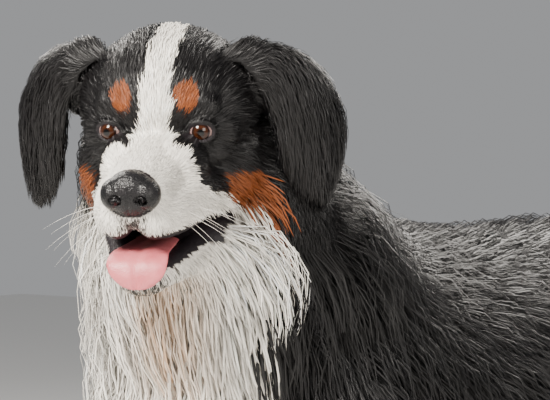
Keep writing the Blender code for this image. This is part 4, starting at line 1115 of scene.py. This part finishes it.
def unwrapped(places):
    """For each region, each place's own place in the unit square, from the skin's own shape."""
    left, forward, up = head_places(places)
    x, y, z = places.T
    axis, fore, hind = LEG_AXES
    round_leg = turn_share(np.abs(x) - axis, np.where(y < LEG_SPLIT, fore - y, hind - y))
    near = tail_gaps(places).argmin(axis=1)
    bone = tail_rows[near]
    ear_side = np.where(left > 0, 0.5, 0.0) + np.where(np.abs(left) > EAR_OUTSIDE, 0.25, 0.0)
    pairs = {
        "head": (turn_share(left, up - HEAD_AXIS), span_share(forward, HEAD_SPAN)),
        "ears": (span_share(forward, EAR_SPANS[0]) * 0.25 + ear_side, span_share(up, EAR_SPANS[1])),
        "trunk": (turn_share(x, TRUNK_AXIS - z), span_share(y, TRUNK_SPAN)),
        "legs": (np.where(x > 0, 0.5, 0.0) + round_leg * 0.5, span_share(z, LEG_SPAN)),
        "tail": (turn_share(x - bone[:, 0], y - bone[:, 1]), near / len(tail_rows)),
    }
    return {name: np.stack(pair, 1) for name, pair in pairs.items()}


def regions(places, kind):
    """The name of the piece of coat that each root belongs to."""
    left, forward, up = head_places(places)
    found = np.full(len(places), "trunk", dtype=object)
    found[(places[:, 2] < LEG_REGION[0]) & (np.abs(places[:, 0]) > LEG_REGION[1])] = "legs"
    back, bottom, width = HEAD_REGION
    found[(forward > back) & (up > bottom) & (np.abs(left) < width)] = "head"
    found[kind == EAR_KIND] = "ears"
    found[kind == TAIL_KIND] = "tail"
    return found


def strands(shares, width, size):
    """Each vertex's place across and along its tuft, in metres, and the tuft's own random number."""
    strand = np.empty((len(width), len(shares), 3))
    strand[:, :, 0] = shares[None, :, 0] * width[:, None] / 2
    strand[:, :, 1] = shares[None, :, 1] * size[:, None]
    strand[:, :, 2] = rng.random(len(width))[:, None]
    return strand


def pieces_of(name, colour, parts):
    """Pieces of one region and class, cut so that none has more than PIECE_TRIANGLES."""
    total = sum(len(part["vertices"]) * part["triangles"] for part in parts)
    count = math.ceil(total / PIECE_TRIANGLES)
    orders = [np.argsort(part["order"]) for part in parts]
    made = []
    for number in range(count):
        share = []
        for part, order in zip(parts, orders):
            first, last = (len(order) * k // count for k in (number, number + 1))
            here = order[first:last]
            share.append({"faces": part["faces"], **{key: part[key][here] for key in TUFT_VALUES}})
        made.append(mesh_of(f"coat_{name}_{colour}_{number}", share))
        made[-1]["hair"] = colour
    return made


def grow_coat():
    """The coat's pieces, some for each region and class of hair."""
    places, normals = roots(1.0)
    kind = kinds(places)
    hair = markings(places, wandering(places, rng.normal(0, WANDER_DRAW, len(places))))
    region = regions(places, kind)
    maps = unwrapped(places)
    short = lie(places, kind)[:, 3] < SHORT_HAIR
    patches = rough(places, PATCH_SCALE)
    groups = {}
    for steps, spread, chosen in (
        (SHORT_STEPS, SHORT_SPREAD, np.flatnonzero(short)),
        (LONG_STEPS, LONG_SPREAD, np.flatnonzero(~short)),
    ):
        count = len(chosen)
        rows, ups, size = grown(places[chosen], normals[chosen], kind[chosen], steps)
        rows = clumped(rows, places[chosen], size, steps)
        width = np.minimum(WIDTH_LEAST + WIDTH_SHARE * size, WIDTH_MOST) * rng.uniform(*WIDTH_RANGE, count)
        vertices, leaning, shares = tufts(rows, ups, width, steps)
        shade = rng.lognormal(0, spread, count) * (1 + PATCH_SHADE * patches[chosen])
        base = tinted(hair[chosen], shade) * specks_stain_and_shade(places[chosen])
        # Painted shade along each tuft: darker at its root, where the coat shades it, and lighter towards
        # its tip.
        painted_root_shade = ROOT_PAINTED_SHADE + PAINTED_SHADE_LIFT * shares[:, 1]
        tint = np.ones((*vertices.shape[:2], 4))
        tint[:, :, :3] = np.clip(base[:, None] * painted_root_shade[None, :, None], 0, 1)
        strand = strands(shares, width, size)
        step = np.stack([shares[:, 0], shares[:, 1] * 2 - 1], 1) * BAKE_PATCH / 2
        for name in REGIONS:
            for number, colour in enumerate(CLASSES):
                here = np.flatnonzero((region[chosen] == name) & (hair[chosen] == number))
                if not len(here):
                    continue
                middle = np.clip(maps[name][chosen][here], BAKE_PATCH, 1 - BAKE_PATCH)
                part = {
                    "vertices": vertices[here],
                    "normal": leaning[here],
                    "tint": tint[here],
                    "strand": strand[here],
                    "uv": middle[:, None] + step[None],
                    "faces": tuft_faces(steps),
                    "order": places[chosen][here] @ CUT_WAY,
                    "triangles": tuft_triangles(steps),
                }
                groups.setdefault((name, colour), []).append(part)
    return [piece for (name, colour), parts in groups.items() for piece in pieces_of(name, colour, parts)]


def skin_tint():
    """Paints the skin with the coat's markings, darkened as painted shade deep in the coat, and black skin
    where it is bare.
    """
    colour = np.ones((len(skin_places), 4))
    colour[:, :3] = TINTS[markings(skin_places, wandering(skin_places))] * SKIN_PAINTED_SHADE
    naked = bare(skin_places) & (skin_places[:, 2] > LEG_TOP)
    colour[naked, :3] = LIP_BLACK
    skin.data.attributes.new("tint", "FLOAT_COLOR", "POINT").data.foreach_set("color", flat([colour]))


# The middle half of a noise's values.
MIDDLE = (0.3, 0.7)


class Nodes:
    """Builds one material's tree: sockets take values or other nodes' outputs."""

    def __init__(self, name):
        self.material = bpy.data.materials.new(name)
        self.material.use_nodes = True
        self.tree = self.material.node_tree
        self.shader = self.tree.nodes["Principled BSDF"]

    def add(self, kind, values=None, inputs=None, output=0):
        node = self.tree.nodes.new(kind)
        for key, value in (values or {}).items():
            setattr(node, key, value)
        for key, value in (inputs or {}).items():
            self.set(node, key, value)
        return node.outputs[output]

    def set(self, node, key, value):
        if isinstance(value, bpy.types.NodeSocket):
            self.tree.links.new(value, node.inputs[key])
        else:
            node.inputs[key].default_value = value

    def place(self):
        return self.add("ShaderNodeTexCoord", output="Object")

    def attribute(self, name, output="Color"):
        return self.add("ShaderNodeAttribute", {"attribute_name": name}, output=output)

    def worked(self, operation, *values):
        return self.add("ShaderNodeMath", {"operation": operation}, dict(enumerate(values)))

    def mapped(self, source, low, high, to_low, to_high):
        inputs = {"Value": source, "From Min": low, "From Max": high, "To Min": to_low, "To Max": to_high}
        return self.add("ShaderNodeMapRange", inputs=inputs)

    def noise(self, scale, detail, vector):
        return self.add("ShaderNodeTexNoise", inputs={"Scale": scale, "Detail": detail, "Vector": vector})

    def bump(self, height, distance, strength):
        inputs = {"Height": height, "Distance": distance, "Strength": strength}
        self.set(self.shader, "Normal", self.add("ShaderNodeBump", inputs=inputs))

    def scaled(self, colour, amount):
        """The colour times a number that varies over the surface."""
        inputs = {0: colour, "Scale": amount}
        return self.add("ShaderNodeVectorMath", {"operation": "SCALE"}, inputs)

    def look(self, colour, roughness, shine=0.5):
        self.set(self.shader, "Base Color", colour)
        self.set(self.shader, "Roughness", roughness)
        self.set(self.shader, "Specular IOR Level", shine)


# How finely the coat's grain is drawn across a tuft, along it and from one tuft to the next.
STRAND_SCALE = (2600, 60, 900)


def coat_material(name, roughness, shine):
    """Glossy hair: fine streaks along each tuft and wide patches over the coat."""
    nodes = Nodes(name)
    inputs = {0: nodes.attribute("strand", "Vector"), 1: STRAND_SCALE}
    strand = nodes.add("ShaderNodeVectorMath", {"operation": "MULTIPLY"}, inputs)
    fine = nodes.noise(1.0, 2.0, strand)
    wide = nodes.noise(38, 3.0, nodes.place())
    streaks = nodes.mapped(fine, 0.25, 0.75, 0.72, 1.25)
    shade = nodes.worked("MULTIPLY", streaks, nodes.mapped(wide, *MIDDLE, 0.88, 1.12))
    gloss = nodes.mapped(fine, 0.2, 0.8, roughness - 0.06, roughness + 0.08)
    nodes.look(nodes.scaled(nodes.attribute("tint"), shade), gloss, shine)
    nodes.bump(fine, 0.0006, 0.6)
    return nodes.material


def grained(name, colour, scale, detail, shade, roughness, shine=0.5, bump=None):
    """A material whose fine grain varies its colour, or the tint of its mesh, and its roughness."""
    nodes = Nodes(name)
    grain = nodes.noise(scale, detail, nodes.place())
    colour = nodes.scaled(colour or nodes.attribute("tint"), nodes.mapped(grain, *MIDDLE, *shade))
    nodes.look(colour, nodes.mapped(grain, *MIDDLE, *roughness), shine)
    if bump:
        nodes.bump(grain, *bump)
    return nodes.material


def pebbled(name, cell_scale, patch_scale, colours, roughness, shine, bump):
    """A moist material of small raised cells, whose colour varies in patches between two."""
    nodes = Nodes(name)
    place = nodes.place()
    inputs = {"Vector": place, "Scale": cell_scale}
    cells = nodes.add("ShaderNodeTexVoronoi", {"feature": "F1"}, inputs)
    patches = nodes.mapped(nodes.noise(patch_scale, 3.0, place), *MIDDLE, 0.0, 1.0)
    inputs = {0: patches, 6: (*colours[0], 1), 7: (*colours[1], 1)}
    colour = nodes.add("ShaderNodeMix", {"data_type": "RGBA"}, inputs, output=2)
    nodes.look(colour, nodes.mapped(cells, 0.0, 0.8, *roughness), shine)
    nodes.bump(cells, *bump)
    return nodes


def skin_material():
    return grained("skin", None, 420, 4.0, (0.7, 1.2), (0.42, 0.62), 0.25, (0.0008, 0.5))


def nose_material():
    colours = ((0.004, 0.004, 0.0045), (0.011, 0.010, 0.011))
    return pebbled("nose_leather", 750.0, 90, colours, (0.20, 0.36), 0.28, (-0.0004, 0.8)).material


def tongue_material():
    colours = ((0.46, 0.095, 0.110), (0.60, 0.165, 0.180))
    nodes = pebbled("tongue", 900.0, 60, colours, (0.28, 0.46), 0.5, (-0.0003, 0.6))
    nodes.set(nodes.shader, "Subsurface Weight", 0.15)
    nodes.set(nodes.shader, "Subsurface Radius", (0.004, 0.0015, 0.001))
    return nodes.material


def horn_material():
    colour = (0.035, 0.028, 0.024)
    return grained("claw_horn", colour, 260, 3.0, (0.6, 1.6), (0.25, 0.45), bump=(0.0003, 0.5))


def whisker_material():
    colour = (0.85, 0.82, 0.76)
    return grained("whisker", colour, 500, 2.0, (0.85, 1.05), (0.25, 0.4), bump=(0.0001, 0.3))


def floor_material():
    return grained("floor_paper", (0.72, 0.715, 0.70), 300, 3.0, (0.98, 1.02), (0.85, 0.95))


# Rings of the eye from the pupil out: share of the way from its axis, and colour.
EYE_RINGS = (
    (0.000, (0.001, 0.001, 0.001)),
    (0.215, (0.001, 0.001, 0.001)),
    (0.255, (0.016, 0.0045, 0.0015)),
    (0.430, (0.036, 0.010, 0.003)),
    (0.560, (0.014, 0.004, 0.002)),
    (0.630, (0.004, 0.003, 0.003)),
    (0.690, (0.22, 0.14, 0.13)),
    (1.000, (0.34, 0.22, 0.20)),
)
EYE_STREAKS = 0.0006
EYE_CENTRE = 0.0003


def eye_material():
    """Pupil, brown iris with bent streaks, dark rim and white, by the distance from the eye's axis."""
    nodes = Nodes("eye")
    place = nodes.place()
    split = nodes.add("ShaderNodeSeparateXYZ", inputs={0: place}).node
    squares = [nodes.worked("POWER", split.outputs[axis], 2.0) for axis in (0, 2)]
    off = nodes.worked("SQRT", nodes.worked("ADD", *squares))
    streaks = nodes.noise(700, 4.0, place)
    bent = nodes.worked("MULTIPLY_ADD", streaks, EYE_STREAKS, off)
    ramp = nodes.add("ShaderNodeValToRGB").node
    elements = ramp.color_ramp.elements
    while len(elements) < len(EYE_RINGS):
        elements.new(0.5)
    for element, (at, colour) in zip(elements, EYE_RINGS):
        element.position = at
        element.color = (*colour, 1)
    nodes.set(ramp, "Fac", nodes.mapped(bent, EYE_CENTRE, EYE_RADIUS, 0.0, 1.0))
    nodes.look(ramp.outputs[0], nodes.mapped(streaks, *MIDDLE, 0.05, 0.10), 0.35)
    nodes.bump(streaks, 0.0001, 0.2)
    return nodes.material


NOSE_VOXEL = 0.0009
NOSE_SMOOTHING = 3
NOSTRIL_DEPTH = 0.0055
NOSTRIL_EDGE = 0.6
# The groove under the nose, and the pebbles of its skin.
SLIT_TOP = -0.026
SLIT_DEPTH = 0.0009
SLIT_WIDTH = 0.0011
PEBBLE_HEIGHT = 0.00022
PEBBLES_A_METRE = 620


def nose_piece():
    """The nose leather, with open nostrils and pebbled skin."""
    bm = bmesh.new()
    head_bead(bm, NOSE, NOSE_RADII)
    for side in SIDES.values():
        head_bead(bm, *NOSE_WING, side)
    made = melted(bm, "nose_leather", NOSE_VOXEL, NOSE_SMOOTHING)
    for vert in made.data.vertices:
        at = HEAD.inverted() @ vert.co
        place = (abs(at.x), -at.y, at.z)
        hole = math.sqrt(sum(((a - b) / r) ** 2 for a, b, r in zip(place, NOSTRIL, NOSTRIL_RADII)))
        push = PEBBLE_HEIGHT * (0.5 - noise.voronoi(at * PEBBLES_A_METRE)[0][0])
        if hole < 1:
            push -= NOSTRIL_DEPTH * (1 - hole) ** NOSTRIL_EDGE
        if at.z < SLIT_TOP:
            push -= SLIT_DEPTH * math.exp(-((at.x / SLIT_WIDTH) ** 2))
        vert.co += vert.normal * push
    return made


def tongue_piece():
    """The tongue over the lower lip, with a groove down its middle."""
    rows = along(TONGUE, TONGUE_ROWS)
    places = [headed(left, forward, up) for left, forward, up, _ in rows]
    across = headed(1, 0, 0)
    rings = []
    for middle, row, run in zip(places, rows, runs(places)):
        over = run.cross(across).normalized()
        ring = []
        for angle in around(TONGUE_POINTS):
            side = math.cos(angle)
            lift = math.sin(angle) * TONGUE_THICKNESS / 2
            if lift > 0:
                lift -= TONGUE_GROOVE * math.exp(-((side / GROOVE_WIDTH) ** 2))
            ring.append(HEAD @ (middle + across * side * row[3] / 2 + over * lift))
        rings.append(ring)
    bm = bmesh.new()
    tube(bm, rings)
    return object_from(bm, "tongue_flesh")


EYE_SEGMENTS = (96, 64)


def eye_piece(name, side):
    """An eyeball with a raised cornea, whose look depends on the distance from its axis."""
    bm = bmesh.new()
    across, up = EYE_SEGMENTS
    turn = Matrix.Rotation(math.pi / 2, 4, "X")
    bmesh.ops.create_uvsphere(bm, u_segments=across, v_segments=up, radius=EYE_RADIUS, matrix=turn)
    for vert in bm.verts:
        off = math.hypot(vert.co.x, vert.co.z)
        if vert.co.y < 0 and off < CORNEA_RADIUS:
            vert.co.y -= CORNEA_RISE * (1 - (off / CORNEA_RADIUS) ** 2)
    made = object_from(bm, "eyeball_" + name)
    made.matrix_world = SHIFT @ eye_frame(side)
    return made


# Claws: rings and points, root behind the toe's front, reach, height, fall, and radius to the tip.
CLAW_RINGS = 8
CLAW_POINTS = 14
CLAW_ROOT = 0.006
CLAW_REACH = 0.020
CLAW_HEIGHT = 0.0005
CLAW_FALL = 0.0145
CLAW_RADIUS = 0.0044
CLAW_TIP = 0.0006
CLAW_TAPER = 0.6
CLAW_FLATNESS = 0.75


def claw_rings(toe):
    """Rings of a curved cone rooted in the front of a toe."""
    rings = []
    for i in range(CLAW_RINGS):
        t = i / (CLAW_RINGS - 1)
        ahead = CLAW_ROOT - TOE_RADII[1] - CLAW_REACH * t
        centre = toe + Vector((0, ahead, CLAW_HEIGHT - CLAW_FALL * t * t))
        size = CLAW_RADIUS * (1 - t) ** CLAW_TAPER + CLAW_TIP
        wide = size * CLAW_FLATNESS
        ring = [Vector((math.cos(a) * wide, 0, math.sin(a) * size)) for a in around(CLAW_POINTS)]
        rings.append([centre + point for point in ring])
    return rings


def claws_piece():
    bm = bmesh.new()
    for side in SIDES.values():
        for middle in (FORE_PAW, HIND_PAW):
            for toe in toes(middle, side):
                tube(bm, claw_rings(toe))
    return object_from(bm, "claws")


# Whiskers of the left flew: root as left, forward, up, then way and length.
WHISKERS = (
    ((0.040, 0.062, -0.056), (1.0, 0.15, -0.25), 0.045),
    ((0.042, 0.054, -0.062), (1.0, 0.00, -0.40), 0.055),
    ((0.041, 0.058, -0.068), (0.9, 0.20, -0.60), 0.050),
    ((0.045, 0.040, -0.058), (1.0, -0.20, -0.20), 0.060),
    ((0.046, 0.034, -0.066), (1.0, -0.30, -0.50), 0.058),
    ((0.044, 0.046, -0.070), (0.9, -0.10, -0.75), 0.048),
    ((0.048, 0.022, -0.064), (1.0, -0.50, -0.40), 0.050),
)
WHISKER_RINGS = 8
WHISKER_POINTS = 5
WHISKER_RADIUS = 0.00022
WHISKER_TAPER = 0.85
WHISKER_FALL = 0.22
# Roots lie this far out, so that they start under the coat.
WHISKER_ROOT = 0.92


def whisker_rings(root, ahead, length):
    """Rings of a thin cone that falls a little towards its tip."""
    fall = Vector((0, 0, -1))
    across = ahead.cross(fall).normalized()
    over = across.cross(ahead)
    rings = []
    for i in range(WHISKER_RINGS):
        t = i / (WHISKER_RINGS - 1)
        centre = root + ahead * length * t + fall * length * WHISKER_FALL * t * t
        size = WHISKER_RADIUS * (1 - WHISKER_TAPER * t)
        rings.append(
            [centre + (across * math.cos(a) + over * math.sin(a)) * size for a in around(WHISKER_POINTS)]
        )
    return rings


def whiskers_piece():
    bm = bmesh.new()
    for side in SIDES.values():
        for place, way, length in WHISKERS:
            root = HEAD @ headed(side * place[0] * WHISKER_ROOT, *place[1:])
            ahead = (HEAD.to_3x3() @ headed(side * way[0], *way[1:])).normalized()
            tube(bm, whisker_rings(root, ahead, length))
    return object_from(bm, "whiskers")


def smooth(obj):
    obj.data.polygons.foreach_set("use_smooth", [True] * len(obj.data.polygons))


def dress(obj, material, slot, *nodes):
    """Gives a piece its material, puts it under the root body and hides the nodes whose place it takes."""
    obj.data.materials.clear()
    obj.data.materials.append(material)
    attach(obj, "root")
    if nodes:
        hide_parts(*nodes)


skin_tint()
coat = grow_coat()
coat_looks = {
    "black": coat_material("coat_black", 0.36, 0.34),
    "white": coat_material("coat_white", 0.52, 0.35),
    "tan": coat_material("coat_tan", 0.45, 0.3),
}
for piece in coat:
    dress(piece, coat_looks[piece["hair"]], "coat_" + piece["hair"])
    del piece["hair"]

skin.matrix_world = SHIFT
smooth(skin)
PAIRS = ("foreleg", "forefoot", "thigh", "shank", "hindfoot", "ear")
paired = [part + "_" + name for part in PAIRS for name in SIDES]
dress(skin, skin_material(), "coat_black", "head", "jaw", "neck", "torso", "tail", *paired)

eye_look = eye_material()
for name, side in SIDES.items():
    ball = eye_piece(name, side)
    smooth(ball)
    dress(ball, eye_look, "eye", "eye_" + name)

for piece, look, slot, nodes in (
    (nose_piece(), nose_material(), "nose_leather", ("nose",)),
    (tongue_piece(), tongue_material(), "tongue", ("tongue",)),
    (claws_piece(), horn_material(), "nose_leather", ()),
    (whiskers_piece(), whisker_material(), "coat_white", ()),
):
    piece.matrix_world = SHIFT
    smooth(piece)
    dress(piece, look, slot, *nodes)

FLOOR_HALF = 6


def floor_piece():
    bm = bmesh.new()
    bmesh.ops.create_grid(bm, x_segments=1, y_segments=1, size=FLOOR_HALF)
    made = object_from(bm, "floor")
    made.data.materials.append(floor_material())
    return made


floor_piece()

# The camera looks at the eyes from this far round and away. AIM is how many pixels right of them and
# below them the middle of the picture lies.
CAMERA_TURN = math.radians(40)
CAMERA_DISTANCE = 3.0
CAMERA_HEIGHT = 0.84
PIXELS_A_METRE = 1140
IMAGE_WIDTH = 550
SENSOR_WIDTH = 36
AIM = (119.5, 69)
LENS = CAMERA_DISTANCE * PIXELS_A_METRE * SENSOR_WIDTH / IMAGE_WIDTH


def look_at(place, target):
    return (target - place).to_track_quat("-Z", "Y").to_euler()


def place_camera():
    middle = SHIFT @ EYE_MIDDLE
    place = middle + CAMERA_DISTANCE * Vector((math.sin(CAMERA_TURN), -math.cos(CAMERA_TURN), 0))
    place.z = CAMERA_HEIGHT
    right = Vector((math.cos(CAMERA_TURN), math.sin(CAMERA_TURN), 0))
    up = right.cross((middle - place).normalized())
    target = middle + right * AIM[0] / PIXELS_A_METRE - up * AIM[1] / PIXELS_A_METRE
    camera = bpy.data.cameras.new("camera")
    camera.lens = LENS
    camera.sensor_width = SENSOR_WIDTH
    made = linked("camera", camera)
    made.location = place
    made.rotation_euler = look_at(place, target)
    bpy.context.scene.camera = made


# Lamps: place, the side of their square, power.
LAMPS = (
    ((-0.1, -2.9, 2.6), 1.0, 330),
    ((3.0, -1.2, 1.6), 1.6, 85),
    ((-2.6, 0.6, 2.6), 1.0, 110),
    ((0.3, 2.6, 2.4), 1.0, 110),
)
LAMP_COLOUR = (1.0, 0.95, 0.88)
LAMP_TARGET = Vector((0, 0, 0.5))
WORLD_COLOUR = (0.80, 0.81, 0.83, 1)
WORLD_STRENGTH = 0.42


def light_scene():
    for number, (place, size, power) in enumerate(LAMPS):
        lamp = bpy.data.lights.new(f"lamp_{number}", "AREA")
        lamp.shape = "SQUARE"
        lamp.size = size
        lamp.energy = power
        lamp.color = LAMP_COLOUR
        made = linked(lamp.name, lamp)
        made.location = place
        made.rotation_euler = look_at(Vector(place), LAMP_TARGET)
    world = bpy.data.worlds.new("studio")
    world.use_nodes = True
    background = world.node_tree.nodes["Background"]
    background.inputs["Color"].default_value = WORLD_COLOUR
    background.inputs["Strength"].default_value = WORLD_STRENGTH
    bpy.context.scene.world = world


light_scene()
place_camera()
